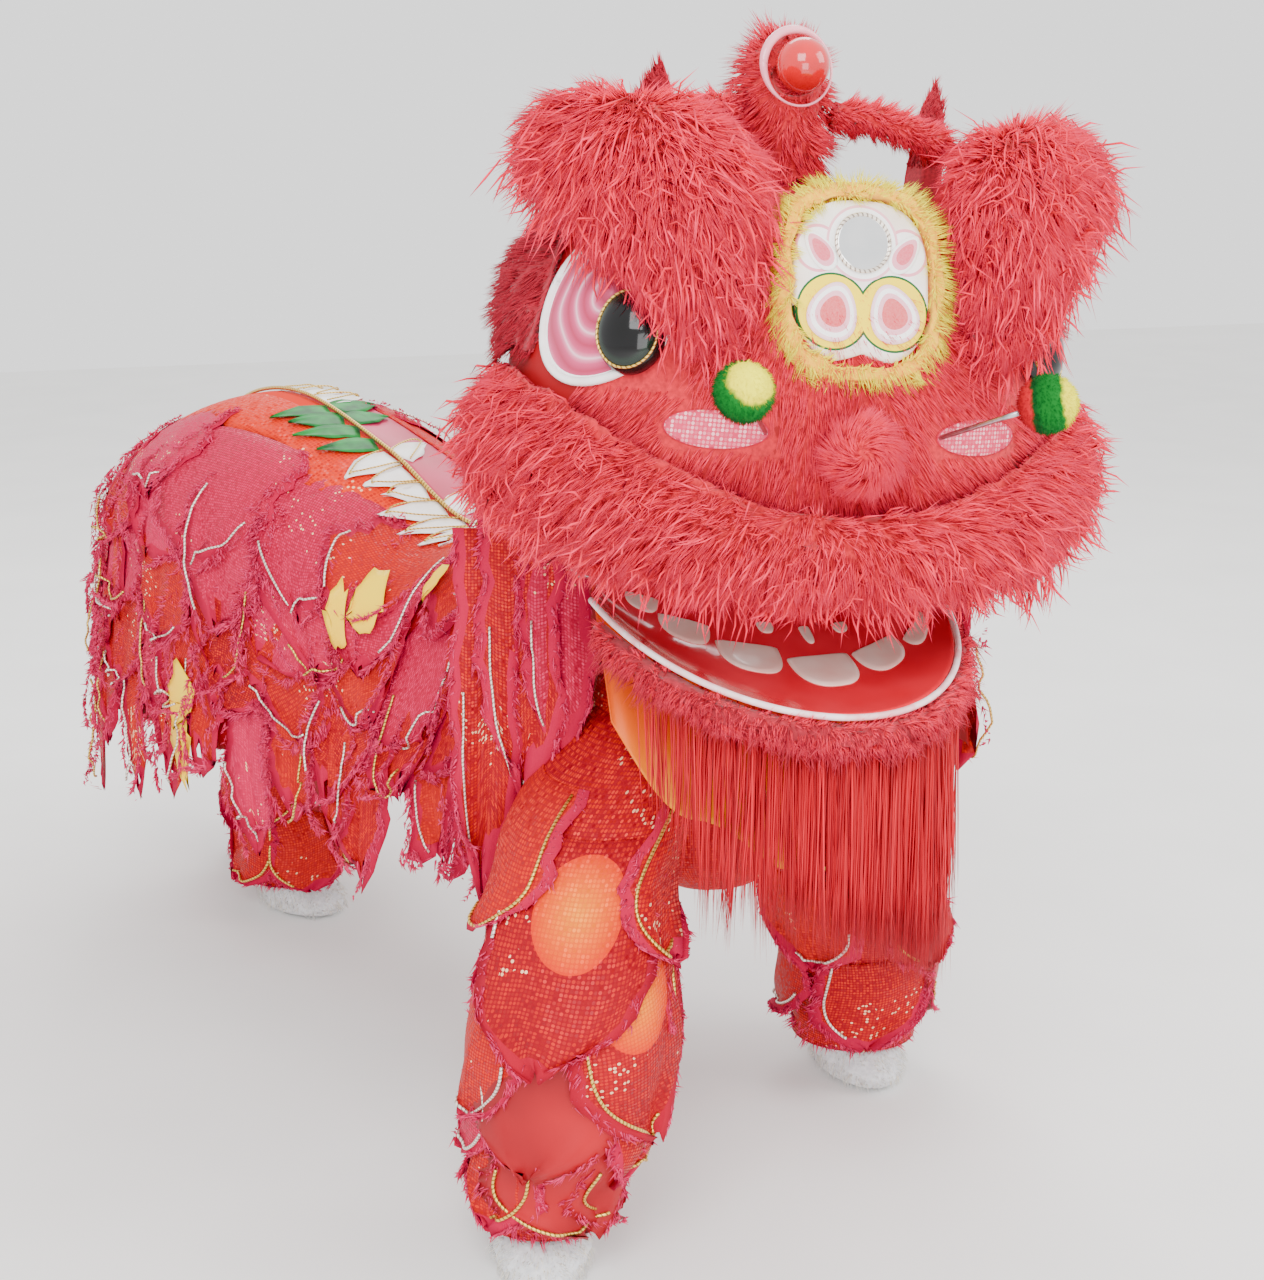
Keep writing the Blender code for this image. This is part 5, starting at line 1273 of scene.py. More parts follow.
# Pompoms: clipped acrylic balls on sprung steel rods, wound from red, green and yellow yarn.
POMPOM_CENTRE, POMPOM_RADIUS = np.array([0.176, -0.345, 0.104]), 0.036
ROD_FOOT = np.array([0.096, -0.215, 0.036])
steel, tree, shader = finish_of("rod_steel", 0.3, Metallic=1.0)
colour_by(tree, shader, noise(tree, 160.0, 3.0), [(0.3, "9A9A9E"), (0.7, "C8C8CC")])
for side, letter, cap in ((-1, "R", (0.13, -0.70, 0.58)), (1, "L", (0.84, -0.46, 0.14))):
    centre = to_world(POMPOM_CENTRE * np.array([side, 1.0, 1.0]))
    yarn, tree, shader = finish_of("pompom_yarn_" + letter, 0.85, Specular_IOR_Level=0.2)
    where = node(tree, "ShaderNodeTexCoord").outputs["Object"]
    off = vector_maths(tree, "SUBTRACT", where, tuple(centre))
    facing_cap = vector_maths(tree, "DOT_PRODUCT", off, tuple(unit(np.array([cap]))[0]), output="Value")
    spread = maths(tree, "ADD", maths(tree, "MULTIPLY", facing_cap, 0.5 / POMPOM_RADIUS),
                   maths(tree, "MULTIPLY", noise(tree, 90.0), 0.14))
    colour_by(tree, shader, maths(tree, "ADD", spread, 0.43),
              [(0.0, "900010"), (0.26, "C80420"), (0.30, "003C10"), (0.44, "005C18"), (0.72, "006C20"),
               (0.78, "E8DC00"), (1.0, "FFF800")])
    deselect()
    bpy.ops.mesh.primitive_ico_sphere_add(subdivisions=3, radius=POMPOM_RADIUS - 0.004, location=centre)
    pompom = bpy.context.active_object
    pompom.name = "pompom_ball_" + letter
    bpy.ops.object.transform_apply(location=True)
    bpy.ops.object.shade_smooth()
    pompom.data.materials.append(yarn)
    coat(pompom, yarn, 2600, 0.0085, 0.0024, lambda points, looks: looks + np.array([0, 0, -0.2]),
         250 + side, lift=0.9, curl=0.1, tuft=8, pull=0.3, rings=1, drop=0.0)
    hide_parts("pompom_" + letter)
    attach(pompom, "head_and_body")
    foot = to_world(ROD_FOOT * np.array([side, 1.0, 1.0]))
    path = foot + (centre - foot) * np.linspace(0, 1 - 0.033 / np.linalg.norm(centre - foot), 6)[:, None]
    rod = cord_piece("pompom_wire_" + letter, path, np.tile([0, 0, 1.0], (6, 1)), 0.003, steel, 12,
                     closed=False)
    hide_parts("pompom_rod_" + letter)
    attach(rod, "head_and_body")

# Forehead plate: a stiffened satin badge with a notch in its foot, a round mirror in its upper half
# and four petals of layered felt, the lower two on discs of yellow and dark green.
PLATE_CENTRE = np.array([0.0, -0.212, 0.213])
PLATE_LEAN = math.radians(17)
PLATE_HALF = (0.080, 0.092)
PLATE_TILT = np.array(Matrix.Rotation(-PLATE_LEAN, 3, "X"))
PETALS = [  # name, across, up, half width, half height, lean in degrees
    ("petal_upper_R", -0.051, 0.034, 0.014, 0.026, 38),
    ("petal_upper_L", 0.051, 0.034, 0.014, 0.026, -38),
    ("petal_lower_R", -0.036, -0.034, 0.029, 0.034, -18),
    ("petal_lower_L", 0.036, -0.034, 0.029, 0.034, 18),
]


def on_plate(across, up, rise):
    """Points over the plate, from its middle."""
    local = np.stack(np.broadcast_arrays(across, -np.asarray(rise, dtype=float), up), axis=-1)
    return to_world(PLATE_CENTRE + local @ PLATE_TILT.T)


def plate_edge(share, angle, out):
    """Points over the plate's own outline, a rounded square with a notch in its foot."""
    sine, cosine = np.sin(angle), np.cos(angle)
    x = PLATE_HALF[0] * np.sign(cosine) * np.abs(cosine)**0.72
    z = PLATE_HALF[1] * np.sign(sine) * np.abs(sine)**0.72
    notch = PLATE_HALF[1] * 0.14 * np.maximum(0, 1 - np.abs(x) / (PLATE_HALF[0] * 0.45))
    z = z + np.where(z < 0, notch, 0)
    return on_plate(x * share, z * share, out)


cream = satin_finish("cream_satin", "F0E0D4", "FFFAF4", 0.30, 20.0)
tree = cream.node_tree
shader = tree.nodes["Principled BSDF"]
ground = shader.inputs["Base Color"].links[0].from_socket
flat = uv_of(tree, "weave")
SEWN = [  # felt discs sewn flat on the satin under petals and mirror: across, up, radius, colour
    (-0.036, -0.034, 0.0435, "0E5A30"), (0.036, -0.034, 0.0435, "0E5A30"),
    (-0.036, -0.034, 0.0410, "FFE010"), (0.036, -0.034, 0.0410, "FFE010"),
    (-0.053, 0.036, 0.0270, "F4A0B0"), (0.053, 0.036, 0.0270, "F4A0B0"),
    (-0.053, 0.036, 0.0235, "FFFAFA"), (0.053, 0.036, 0.0235, "FFFAFA"),
    (0.0, 0.044, 0.0430, "F6B4C0"), (0.0, 0.044, 0.0400, "FFFFFF"),
]
for across, up, radius, code in SEWN:
    off = vector_maths(tree, "DISTANCE", flat, (across, up, 0.0), output="Value")
    ground = blend(tree, maths(tree, "LESS_THAN", off, radius), ground, tone(code))
tree.links.new(ground, shader.inputs["Base Color"])
plate = dome("forehead_badge", plate_edge, lambda s: -0.0022 * s**10 + 0 * s, cream, 18, 96, base=-0.030)
share, angle = disc_places(18, 96)
local = ((plate_edge(share, angle, 0 * share) @ TURN) - PLATE_CENTRE) @ PLATE_TILT
set_uv(plate, "weave", local[:, [0, 2]])
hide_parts("forehead_plate")
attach(plate, "head_and_body")

mirror_glass, tree, shader = finish_of("mirror_glass", 0.04, Metallic=1.0)
colour_by(tree, shader, noise(tree, 40.0), [(0.3, "F2F4F6"), (0.7, "FFFFFF")])


def mirror_at(share, angle, out):
    return on_plate(0.032 * share * np.cos(angle), 0.044 + 0.032 * share * np.sin(angle), out + 0.0003)


mirror = dome("forehead_glass", mirror_at, lambda s: 0.003 - 0.0008 * s**12, mirror_glass, 10, 64)
angle = round_of(64)
looks = unit(mirror_at(1.0, angle, 0.02) - mirror_at(1.0, angle, 0))
joined(mirror, cord_piece("rim", mirror_at(1.0, angle, 0.0022), looks, 0.0022, silver_cord))
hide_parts("forehead_mirror")
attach(mirror, "head_and_body")


def rings_finish(name, stops):
    """Layers of felt, each smaller than the one under it: the colour steps out from the middle."""
    material, tree, shader = finish_of(name, 0.6, Sheen_Weight=0.15)
    fibre = noise(tree, 500.0)
    colour = ramp(tree, strand_of(tree).outputs[0], stops)
    colour.node.color_ramp.interpolation = "CONSTANT"
    relief(tree, shader, fibre, 0.3, 0.0006)
    dull = blend(tree, maths(tree, "MULTIPLY", fibre, 0.25), colour, tone("FFF4EE"))
    tree.links.new(dull, shader.inputs["Base Color"])
    return material


lower_felt = rings_finish("ringed_felt", [(0.0, "D80828"), (0.52, "F4A0B4"), (0.70, "FFFFFF"),
                                          (0.86, "F8C8D4")])
upper_felt = rings_finish("pink_felt", [(0.0, "DC2850"), (0.55, "F08CA4"), (0.80, "FFFFFF")])
for name, across, up, wide, high, lean in PETALS:
    def petal_at(share, angle, out, across=across, up=up, wide=wide, high=high, lean=math.radians(lean)):
        a = wide * np.cos(angle) * (1 - 0.25 * np.sin(angle)) * share
        b = high * np.sin(angle) * share
        return on_plate(across + a * math.cos(lean) - b * math.sin(lean),
                        up + a * math.sin(lean) + b * math.cos(lean), out + 0.0003)

    petal = dome(name + "_felt", petal_at, lambda s: 0.0010 + 0.0008 * (s < 0.86) + 0.0008 * (s < 0.60),
                 lower_felt if "lower" in name else upper_felt, 12, 40)
    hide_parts(name)
    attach(petal, "head_and_body")


def gloss_finish(name, dark, light, rough=0.15):
    """Glossy plastic."""
    material, tree, shader = finish_of(name, rough, Coat_Weight=0.6, Coat_Roughness=0.08)
    colour_by(tree, shader, noise(tree, 18.0), [(0.35, dark), (0.65, light)])
    return material


# Horn bulb: a blown red plastic ball in a crescent of glossy pink tube.
bulb_red = gloss_finish("bulb_red_plastic", "C00010", "E00818")
rim_pink = gloss_finish("rim_pink_plastic", "F08098", "FFB0BC")
BULB = np.array([-0.012, 0.010, 0.445])
deselect()
bpy.ops.mesh.primitive_uv_sphere_add(segments=48, ring_count=24, radius=0.032, location=to_world(BULB))
bulb = bpy.context.active_object
bulb.name = "horn_ball"
bpy.ops.object.transform_apply(location=True)
bpy.ops.object.shade_smooth()
shape = bmesh.new()  # Blender's sphere has its faces in another order each time, so they are sorted
shape.from_mesh(bulb.data)
shape.faces.sort(key=lambda face: sum(corner.index * 2000 ** k for k, corner in enumerate(face.verts)))
shape.to_mesh(bulb.data)
shape.free()
bulb.data.materials.append(bulb_red)
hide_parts("horn_bulb")
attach(bulb, "head_and_body")
look = unit(np.array([[0.10, -1.0, 0.25]]))[0]
across = unit(np.cross(look, [0, 0, 1.0])[None])[0]
up = np.cross(across, look)
angle = round_of(60)
outward = across * np.cos(angle)[:, None] + up * np.sin(angle)[:, None]
thick = 0.0016 + 0.0040 * np.clip(0.35 + np.cos(angle - math.radians(50)), 0, 1.2) / 1.2
rim = cord_piece("horn_crescent", to_world(BULB - look * 0.014 + outward * 0.045), to_world(outward),
                 np.concatenate([thick, thick[:2]])[:, None, None], rim_pink, 12)
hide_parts("horn_rim")
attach(rim, "head_and_body")

# Ears: crimson felt leaves with a fringe of pile, sewn to the crown behind the brow pads.
ear_felt = felt_finish("crimson_felt", "900020", "C00C30", 0.001)
for side, letter in ((-1, "R"), (1, "L")):
    ear = backing("ear_" + letter, "ear_leaf_" + letter, 0.0036, 3, 0.0002, ear_felt)
    coat(ear, crimson_fur, 1500, 0.020, 0.0024, lying(0.3 * side, -0.2, 0.8), 260 + side,
         lift=0.3, tuft=12, rings=1, drop=-0.1, keep=lambda roots, looks: roots[:, 2] > 0.32)
    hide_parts("ear_" + letter)
    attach(ear, "head_and_body")

# Lower jaw: a dished tray of glossy coral vinyl with scalloped white teeth stuck on it, an edge of thin
# piping, a fur roll under its rim and the beard. It turns on a rod across the back of the mouth.
HINGE = np.array([0.0, 0.040, -0.185])
JAW_HALF, JAW_LONG, JAW_DROP, JAW_DISH = 0.232, 0.345, 0.077, 0.030
JAW_SWEEP = math.radians(82)


def jaw_rim(place):
    """Points of the upright jaw's rim; place runs from -1 at the lion's right to 1 at its left."""
    angle = np.asarray(place) * JAW_SWEEP
    return np.stack([JAW_HALF * np.sin(angle), HINGE[1] - JAW_LONG * np.cos(angle),
                     HINGE[2] - JAW_DROP * np.cos(angle)], axis=-1)


def jaw_outward(place):
    angle = np.asarray(place) * JAW_SWEEP
    return np.stack([np.sin(angle), -np.cos(angle), 0 * angle], axis=-1)


def tray_at(place, share, out):
    """Points over the tray's upper face; share runs from its rear edge to its rim."""
    def plain(place, share):
        rear = np.stack([0.205 * place, 0 * place + HINGE[1] - 0.0043, 0 * place + HINGE[2]], axis=-1)
        dish = JAW_DISH * np.sin(math.pi * share) * np.sqrt(np.maximum(1 - place**2, 0))
        point = rear + (jaw_rim(place) - rear) * share[..., None]
        point[..., 2] -= dish
        return point

    place, share, out = (np.asarray(part, dtype=float) for part in np.broadcast_arrays(place, share, out))
    near = np.clip(place, -0.985, 0.985)
    along = plain(near + 0.01, share) - plain(near - 0.01, share)
    ahead = plain(near, share + 0.01) - plain(near, share - 0.01)
    return to_world(plain(place, share) + unit(np.cross(ahead, along)) * out[..., None])


vinyl, tree, shader = finish_of("coral_vinyl", 0.14, Coat_Weight=0.7, Coat_Roughness=0.06)
cloud = noise(tree, 9.0)
colour_by(tree, shader, cloud, [(0.3, "EC1430"), (0.7, "FF3448")])
relief(tree, shader, cloud, 0.35, 0.006)
tooth_white = gloss_finish("tooth_vinyl", "F8C0B4", "FFDCD0", 0.45)
place, share = np.meshgrid(np.linspace(-1, 1, 81), np.linspace(0, 1, 34), indexing="ij")
outer, inner = tray_at(place, share, 0.0), tray_at(place, share, -0.003)
points, faces = wall_between(outer, inner, (outer - inner)[40, 16])
tray = mesh_of("jaw_vinyl", points, faces, {}, np.zeros(len(faces), dtype=int), [vinyl])
TEETH = [  # place, share, half place, share of its length
    (-0.74, 0.19, 0.100, 0.15),
    (-0.51, 0.30, 0.135, 0.18),
    (-0.21, 0.39, 0.152, 0.21),
    (0.12, 0.46, 0.160, 0.24),
    (0.45, 0.47, 0.150, 0.22),
    (0.75, 0.55, 0.125, 0.19),
    (-0.07, 0.24, 0.045, 0.06),
    (0.14, 0.27, 0.030, 0.10),
    (0.35, 0.27, 0.045, 0.06),
]
for middle, start, half, long in TEETH:
    def tooth_at(share, angle, out, middle=middle, start=start, half=half, long=long):
        sine, cosine = np.sin(angle), np.cos(angle)
        down = np.where(sine > 0, np.abs(sine)**0.85 * long * 0.88, sine * long * 0.10)
        across = np.sign(cosine) * np.abs(cosine)**0.72
        return tray_at(middle + half * share * across, start + share * down, out)

    joined(tray, dome("tooth", tooth_at, lambda s: 0.0022 - 0.0012 * s**8, tooth_white, 6, 40, base=-0.0005))
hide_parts("jaw_tray")
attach(tray, "jaw")

place = np.linspace(-0.97, 0.97, 110)
pink_piping = satin_finish("pink_white_piping", "F4B8BC", "FFF0F0", 0.4, 40.0)
path = to_world(jaw_rim(place) + jaw_outward(place) * 0.0058 - np.array([0, 0, 0.0015]))
piping = cord_piece("jaw_edge_piping", path, to_world(np.tile([0, 0, 1.0], (110, 1))), 0.004, pink_piping,
                    10, closed=False)
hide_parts("jaw_piping")
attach(piping, "jaw")

roll = backing("jaw_fur", "jaw_fur_roll", 0.009, 3, 0.008, crimson_backing)
jaw_middle = to_world(np.array([[0.0, -0.05, -0.22]]))[0]


def out_and_down(points, looks):
    return unit((points - jaw_middle) * np.array([1, 1, 0.2])) + np.array([0, 0, -0.9])


coat(roll, coral_fur, 5400, 0.028, 0.0026, out_and_down, 500, lift=0.4, tuft=18, rings=1)
coat(roll, crimson_fur, 2200, 0.034, 0.0026, out_and_down, 503, lift=0.4, tuft=18, rings=1)
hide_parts("jaw_fur")
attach(roll, "jaw")

# Beard: long straight acrylic hair, sewn in a row under the jaw's rim, so thin on the lion's right that
# the bib shows through it. Its locks end at uneven lengths, longest on the lion's left.
BEARD = np.array([(-1.0, 0.200), (-0.6, 0.290), (-0.2, 0.275), (0.2, 0.300), (0.6, 0.370), (1.0, 0.280)])
BEARD_SPAN = 0.74
hair, tree, shader = finish_of("beard_hair", 0.60, Specular_IOR_Level=0.25)
strand = strand_of(tree)
tone_of = ramp(tree, strand.outputs[0], [(0.0, "900012"), (0.5, "BC0018"), (1.0, "E00428")])
ends_tone = blend(tree, maths(tree, "MULTIPLY", strand.outputs[1], 0.30), tone_of, tone("F82040"))
tree.links.new(ends_tone, shader.inputs["Base Color"])
count = 4100
chance = np.random.default_rng(520)
place = np.clip(-1 + 2 * ((np.arange(count) + chance.random(count)) / count)**0.86, -1, 1)
kept = np.interp(place, [-1, -0.7, -0.2, 0.3, 1], [0.12, 0.16, 0.36, 0.8, 1.0])
place = place[chance.random(count) < kept]
count = len(place)
long = np.interp(place, BEARD[:, 0], BEARD[:, 1])
uneven = np.array([(-1)**i * (0.5 + 0.5 * math.sin(i * 2.3)**2) for i in range(34)])
lock = np.interp(place, np.linspace(-1, 1, 34), 1 + 0.10 * uneven)
long = long * lock * (0.80 + 0.22 * chance.random(count)) + 0.012
down = np.array([0, 0, -1.0])
off = jaw_outward(place * BEARD_SPAN) * (-0.004 + 0.005 * chance.normal(size=(count, 1)))
roots = to_world(jaw_rim(place * BEARD_SPAN) + off)
roots = roots + down * (0.010 + 0.010 * chance.random((count, 1)))
gather = np.interp(place, np.linspace(-1, 1, 12),
                   [0.05, 0.03, 0.0, -0.03, 0.0, 0.02, 0.0, -0.03, 0.0, 0.03, -0.02, -0.04])
swing = to_world(np.stack([gather, 0 * gather, 0 * gather], 1))
first = unit(down + swing + 0.035 * chance.normal(size=(count, 3)))
last = unit(down + 0.05 * chance.normal(size=(count, 3)))
points, faces, uvs = hairs(roots, first, last, long, 0.0021, 20, 0.45, 521, 3)
beard = mesh_of("beard_locks", points, faces, {"strand": uvs}, np.zeros(len(faces), dtype=int), [hair])
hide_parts("beard")
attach(beard, "jaw")

# Bib: orange and yellow satin across the wearer's chest, sewn to the rod at the back of the mouth.
BIB = np.array([(-0.232, -0.330), (-0.180, -0.420), (-0.110, -0.455), (-0.030, -0.500), (0.060, -0.400),
                (0.140, -0.310), (0.205, -0.245)])
BIB_WALL = 0.002
bib_satin, tree, shader = finish_of("orange_yellow_satin", 0.42, Specular_IOR_Level=0.2)
where = node(tree, "ShaderNodeTexCoord").outputs["Object"]
split = node(tree, "ShaderNodeSeparateXYZ", {0: where})
height = node(tree, "ShaderNodeMapRange", {0: split.outputs[2], 1: -0.20, 2: -0.48}).outputs[0]
mixed = maths(tree, "ADD", maths(tree, "MULTIPLY", height, 0.7),
              maths(tree, "MULTIPLY", noise(tree, 7.0), 0.4))
colour_by(tree, shader, mixed, [(0.15, "D03400"), (0.5, "EC6400"), (0.85, "F89800")])
rod = to_world(HINGE)
across = np.linspace(0, 1, 84)
xs, feet = (np.array([table_at(BIB, a * (len(BIB) - 1))[k] for a in across]) for k in (0, 1))
tops = rod[2] - (xs - rod[0]) * math.tan(TILT) - 0.0048
share = np.linspace(0, 1, 30)[:, None]
drop = (tops - feet) * share
fold = (0.006 * np.sin(across * 12 * 1.9) + 0.004 * np.sin(across * 47 + 1.0)) * share
outer, inner = (np.stack([np.broadcast_to(xs, drop.shape), rod[1] - 0.62 * drop + fold + off, tops - drop],
                         axis=-1) for off in (0.0, BIB_WALL))
points, faces = wall_between(outer, inner, np.array([0, -1.0, 0]))
bib = mesh_of("chest_satin", points, faces, {}, np.zeros(len(faces), dtype=int), [bib_satin])
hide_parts("chest_bib")
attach(bib, "head_and_body")

# Trousers: two pairs, of red net with sequins over satin, hung from straps. Each leg is covered with
# tiers of wool-edged flaps and ends in a cuff of crimson wool over a furred paw cover.
LEGS = {  # z, x, y, radius from the hip down
    "front_R": np.array([
        (-0.330, -0.080, 0.120, 0.078), (-0.450, -0.220, 0.010, 0.104), (-0.530, -0.270, -0.055, 0.096),
        (-0.610, -0.293, -0.100, 0.108), (-0.690, -0.303, -0.112, 0.112), (-0.770, -0.310, -0.108, 0.102),
        (-0.840, -0.312, -0.104, 0.096), (-0.895, -0.333, -0.100, 0.078), (-0.958, -0.337, -0.100, 0.072)]),
    "front_L": np.array([
        (-0.330, 0.058, 0.125, 0.078), (-0.450, 0.125, 0.150, 0.112), (-0.530, 0.150, 0.190, 0.112),
        (-0.610, 0.180, 0.225, 0.114), (-0.690, 0.205, 0.250, 0.116), (-0.770, 0.230, 0.268, 0.112),
        (-0.840, 0.240, 0.275, 0.106), (-0.895, 0.238, 0.280, 0.096), (-0.958, 0.235, 0.280, 0.086)]),
    "hind_R": np.array([
        (-0.380, -0.500, 1.190, 0.095), (-0.480, -0.505, 1.160, 0.095), (-0.580, -0.508, 1.140, 0.092),
        (-0.680, -0.512, 1.130, 0.086), (-0.780, -0.522, 1.130, 0.072), (-0.870, -0.508, 1.130, 0.080),
        (-0.930, -0.504, 1.130, 0.076), (-0.958, -0.500, 1.130, 0.080)]),
    "hind_L": np.array([
        (-0.380, -0.500, 1.290, 0.095), (-0.480, -0.495, 1.320, 0.092), (-0.580, -0.490, 1.345, 0.090),
        (-0.680, -0.485, 1.365, 0.086), (-0.780, -0.480, 1.380, 0.078), (-0.870, -0.478, 1.390, 0.078),
        (-0.930, -0.476, 1.395, 0.076), (-0.958, -0.475, 1.395, 0.078)]),
}
SEATS = {  # z, x, y, half width, half depth
    "front": np.array([
        (-0.270, -0.010, 0.130, 0.170, 0.105), (-0.360, -0.015, 0.120, 0.195, 0.115),
        (-0.470, -0.035, 0.100, 0.190, 0.120), (-0.560, -0.045, 0.090, 0.140, 0.090),
        (-0.610, -0.050, 0.090, 0.060, 0.045)]),
    "hind": np.array([
        (-0.330, -0.500, 1.240, 0.120, 0.145), (-0.400, -0.500, 1.240, 0.125, 0.150),
        (-0.500, -0.500, 1.240, 0.110, 0.125), (-0.570, -0.500, 1.240, 0.050, 0.060)]),
}
SMOOTH = {key: np.array([table_at(rows, a) for a in np.linspace(0, len(rows) - 1, 120)])[::-1]
          for key, rows in LEGS.items()}


def over_leg(key, angle, z, out):
    """Points over a leg; the angle is 0 at +X and a quarter turn less at the front."""
    rows = SMOOTH[key]
    x, y, radius = (np.interp(z, rows[:, 0], rows[:, k]) for k in (1, 2, 3))
    radius = radius + out
    return np.stack([x + radius * np.cos(angle), y + radius * np.sin(angle), z + 0 * angle], axis=-1)


def wall_of(outer, inner):
    """A closed wall round an axis, from rings that run down the outside and rings down the inside."""
    rings = np.concatenate([outer, inner[::-1]])
    count, sides = rings.shape[:2]
    index = np.arange(count * sides).reshape(count, sides)
    a, b = index, np.roll(index, -1, axis=1)
    c, d = np.roll(b, -1, axis=0), np.roll(index, -1, axis=0)
    faces = np.concatenate([np.stack([a, b, c], 2).reshape(-1, 3), np.stack([a, c, d], 2).reshape(-1, 3)])
    points = rings.reshape(-1, 3)
    return points, facing(points, faces, outer[0, 0] - outer[0, sides // 2])


# Net with a large yellow oval of sequins in its middle, for the two flaps down the front of the leg.
OVAL_PITCH, OVAL_DOWN, OVAL_HALF = 0.0046, 0.068, (0.050, 0.056)
oval_net = sequin_finish("oval_sequin_net", [(0.0, "780016"), (1.0, "A00410")], "C81C14", "A80028",
                         OVAL_PITCH)
tree = oval_net.node_tree
shader = tree.nodes["Principled BSDF"]
plain = shader.inputs["Base Color"].links[0].from_socket
weave = uv_of(tree, "weave")
off = vector_maths(tree, "SUBTRACT", weave, (0.0, OVAL_DOWN, 0.0))
off = vector_maths(tree, "MULTIPLY", off, (1 / OVAL_HALF[0], 1 / OVAL_HALF[1], 0.0))
far = vector_maths(tree, "LENGTH", off, output="Value")
inside = maths(tree, "LESS_THAN", far, 1.0)
disc = sequins(tree, weave, OVAL_PITCH)[0]
yellow = ramp(tree, far, [(0.0, "FF9000"), (0.55, "F86400"), (1.0, "E03000")])
oval = blend(tree, disc, blend(tree, 0.35, yellow, tone("C00818")), yellow)
tree.links.new(blend(tree, inside, plain, oval), shader.inputs["Base Color"])
SEAT_WALL = 0.003
LEG_KIT = [pink_net, red_net, silver_cord, gold_cord, yellow_satin, red_satin, oval_net]
FLAPS = {  # angle, top, width, length, lean, cloth by LEG_KIT, stand at foot, cord's first and last share
    "front_R": [
        (-42, -0.800, 0.16, 0.150, 0, 5, 0.012, 0.1, 0.4),
        (-160, -0.790, 0.15, 0.150, 0, 1, 0.012, 0.5, 0.9),
        (35, -0.805, 0.17, 0.135, 0, 1, 0.012, 0, 1), (120, -0.800, 0.17, 0.140, 0, 1, 0.012, 0, 0.5),
        (-104, -0.785, 0.20, 0.165, 6, 5, 0.016, 0.12, 0.62),
        (-20, -0.720, 0.18, 0.170, -8, 1, 0.016, 0.4, 0.9),
        (70, -0.720, 0.19, 0.160, 0, 1, 0.016, 0, 1), (160, -0.700, 0.19, 0.160, 0, 0, 0.016, 0.5, 1),
        (-170, -0.640, 0.15, 0.165, 0, 1, 0.016, 0.45, 0.9), (-118, -0.665, 0.20, 0.180, 3, 5, 0.021, 0, 0),
        (15, -0.580, 0.20, 0.180, -6, 1, 0.016, 0, 1), (95, -0.570, 0.20, 0.180, 0, 0, 0.016, 0.2, 0.8),
        (-106, -0.462, 0.22, 0.235, 0, 6, 0.020, 0.0, 0.16),
        (-70, -0.560, 0.17, 0.260, 9, 6, 0.025, 0.0, 0.62),
        (-30, -0.430, 0.18, 0.170, 0, 1, 0.014, 0, 0.5), (180, -0.420, 0.20, 0.160, 0, 1, 0.014, 0.3, 1)],
}
HIND_TOPS = (-0.82, -0.70, -0.57, -0.46)
for key, first, tops in (("front_L", -100, (-0.80, -0.66, -0.52, -0.40)), ("hind_R", -70, HIND_TOPS),
                         ("hind_L", -110, HIND_TOPS)):
    FLAPS[key] = [(first + 90 * k + 45 * (i % 2), top, 0.17, 0.150 if i else 0.140, 6 * (-1)**k,
                   (1, 5, 1, 1)[(i + k) % 4], 0.014, 0.15 * k, 0.4 + 0.15 * k)
                  for i, top in enumerate(tops) for k in range(4)]


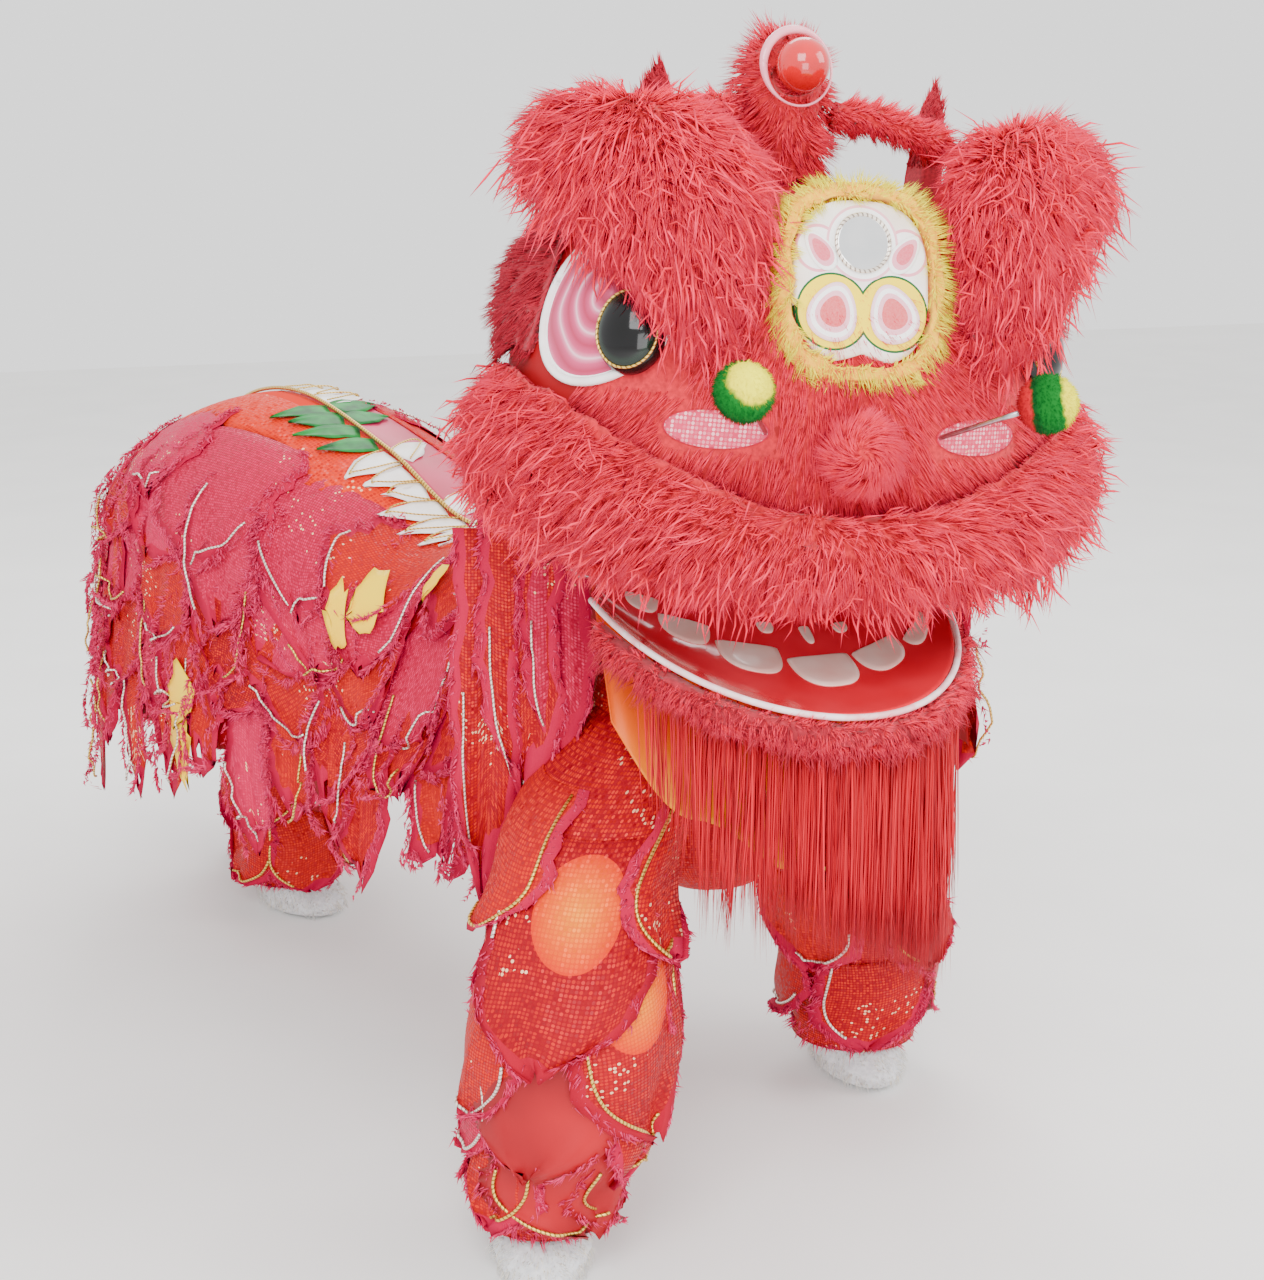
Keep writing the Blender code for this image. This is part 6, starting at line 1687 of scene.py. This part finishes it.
def leg_pair(name, seat, keys, replaced, seed, wool_count):
    """One pair of trousers: its seat, and each leg with its flaps and its cuff."""
    chance = np.random.default_rng(seed)
    pile, bundles = Pile(), []
    angle = round_of(40)
    rows = np.array([table_at(SEATS[seat], a) for a in np.linspace(0, len(SEATS[seat]) - 1, 18)])
    shells = []
    for less in (0.0, SEAT_WALL):
        x = rows[:, 1, None] + (rows[:, 3, None] - less) * np.cos(angle)
        y = rows[:, 2, None] + (rows[:, 4, None] - less) * np.sin(angle)
        shells.append(np.stack([x, y, np.broadcast_to(rows[:, 0, None], x.shape)], axis=-1))
    points, faces = wall_of(*shells)
    heights = np.repeat(np.concatenate([rows[:, 0], rows[::-1, 0]]), len(angle))
    weave = np.stack([np.tile(angle * 0.15, 2 * len(rows)), heights], 1)
    pile.add(points, faces, weave, np.tile([0.4, 0.5], (len(points), 1)), 1)
    for key in keys:
        heights = np.linspace(LEGS[key][0][0], LEGS[key][-1][0], 52)
        z, turn = np.meshgrid(heights, angle, indexing="ij")
        wave = 0.0045 + 0.0022 * np.sin(z * 115 + 2 * turn) + 0.0016 * np.sin(z * 61 - 3 * turn + 1.3)
        inner = over_leg(key, turn, z, np.full(z.shape, -0.002))
        points, faces = wall_of(over_leg(key, turn, z, wave), inner)
        around = np.tile(turn.reshape(-1) * 0.10, 2)
        weave = np.stack([around, np.concatenate([z, z[::-1]]).reshape(-1)], 1)
        pile.add(points, faces, weave, np.tile([0.25, 0.5], (len(points), 1)), 1)
        for turn, top, wide, long, lean, kind, stand, begin, until in FLAPS[key]:
            def place(a, d, out, key=key, turn=math.radians(turn), top=top):
                z = np.maximum(top - d, LEGS[key][-1][0] + 0.001)
                radius = np.interp(z, SMOOTH[key][:, 0], SMOOTH[key][:, 3])
                return over_leg(key, turn + a / radius, z, out + 0.006)

            flap = Flap(place, wide, long, (0.001, stand), chance, point=2.6, wave=0.006,
                        lean=math.radians(lean), tint=0.3 + 0.4 * chance.random(), torn=0.045)
            flap.cloth(pile, kind, 11, 14)
            if until > begin:
                flap.cord(pile, 2 if chance.random() < 0.5 else 3, (begin, until), radius=0.0023)
            bundles.append(flap.wool(wool_count, chance, 0.015))
        bundles.append(cuff(key, 420, chance))
    made = pile.made(name, LEG_KIT)
    add_hairs(made, wool_parts(bundles, 0.0038, seed + 1), wool)
    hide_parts(replaced)
    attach(made, "head_and_body")


def cuff(key, count, chance):
    """Wool round the hem of a leg, drawn down over the paw cover."""
    turn = chance.random(count) * 2 * math.pi
    z = LEGS[key][-1][0] + 0.002 + 0.030 * chance.random(count)**2
    roots = over_leg(key, turn, z, np.full(count, 0.002))
    out = unit(over_leg(key, turn, z, np.full(count, 0.02)) - roots)
    first = unit(out * 0.8 + np.array([0, 0, -0.4]) + 0.5 * chance.normal(size=(count, 3)))
    last = unit(out * 0.1 + np.array([0, 0, -0.7]) + 0.7 * chance.normal(size=(count, 3)))
    return roots, first, last, 0.020 * (0.6 + 0.7 * chance.random(count))


leg_pair("front_leg_cloth", "front", ("front_R", "front_L"), "front_trousers", 600, 270)
leg_pair("hind_leg_cloth", "hind", ("hind_R", "hind_L"), "hind_trousers", 620, 120)

# Paw covers: foam shapes covered with white-grey pile, a little cream in places.
paw_fur = fur_finish("white_acrylic_fur", "A8A8AA", "DADADC", "F4F4F6", "FFF0D4", 0.7)
paw_backing = felt_finish("white_fur_backing", "C4C4C8", "E0E0E2")
for letter in ("front_R", "front_L", "hind_R", "hind_L"):
    paw = backing("paw_" + letter, "paw_cover_" + letter, 0.008, 4, 0.006, paw_backing)
    coat(paw, paw_fur, 2300, 0.022, 0.0022,
         lambda points, looks: looks * np.array([1, 1, 0]) + np.array([0, -0.2, -0.35]),
         640, lift=0.45, tuft=14, rings=1,
         keep=lambda roots, looks: (roots[:, 2] > FLOOR + 0.008) & (looks[:, 2] > -0.4))
    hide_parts("paw_" + letter)
    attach(paw, "head_and_body")

# Carrying bar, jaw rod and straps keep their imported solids: a bamboo pole, a bent steel rod and woven
# straps, which only their finish tells apart.
bamboo, tree, shader = finish_of("bamboo", 0.5)
where = node(tree, "ShaderNodeTexCoord").outputs["Object"]
stretched = vector_maths(tree, "MULTIPLY", where, (4.0, 120.0, 120.0))
fibre = node(tree, "ShaderNodeTexNoise", {"Vector": stretched, "Scale": 1.0, "Detail": 3.0}).outputs[0]
colour_by(tree, shader, fibre, [(0.3, "9A7038"), (0.7, "C8A468")])
webbing, tree, shader = finish_of("red_webbing", 0.8)
where = node(tree, "ShaderNodeTexCoord").outputs["Object"]
twill = node(tree, "ShaderNodeTexWave", {"Vector": where, "Scale": 160.0}, wave_type="BANDS",
             bands_direction="DIAGONAL").outputs[0]
colour_by(tree, shader, twill, [(0.2, "6E0A18"), (0.8, "A81828")])
relief(tree, shader, twill, 0.4, 0.0006)
for names, material in ((("carry_bar",), bamboo), (("jaw_hanger",), steel),
                        (("brace_front_R", "brace_front_L", "brace_hind_R", "brace_hind_L"), webbing)):
    for name in names:
        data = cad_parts[name].data
        data.materials.clear()
        data.materials.append(material)

low, high = cad_box
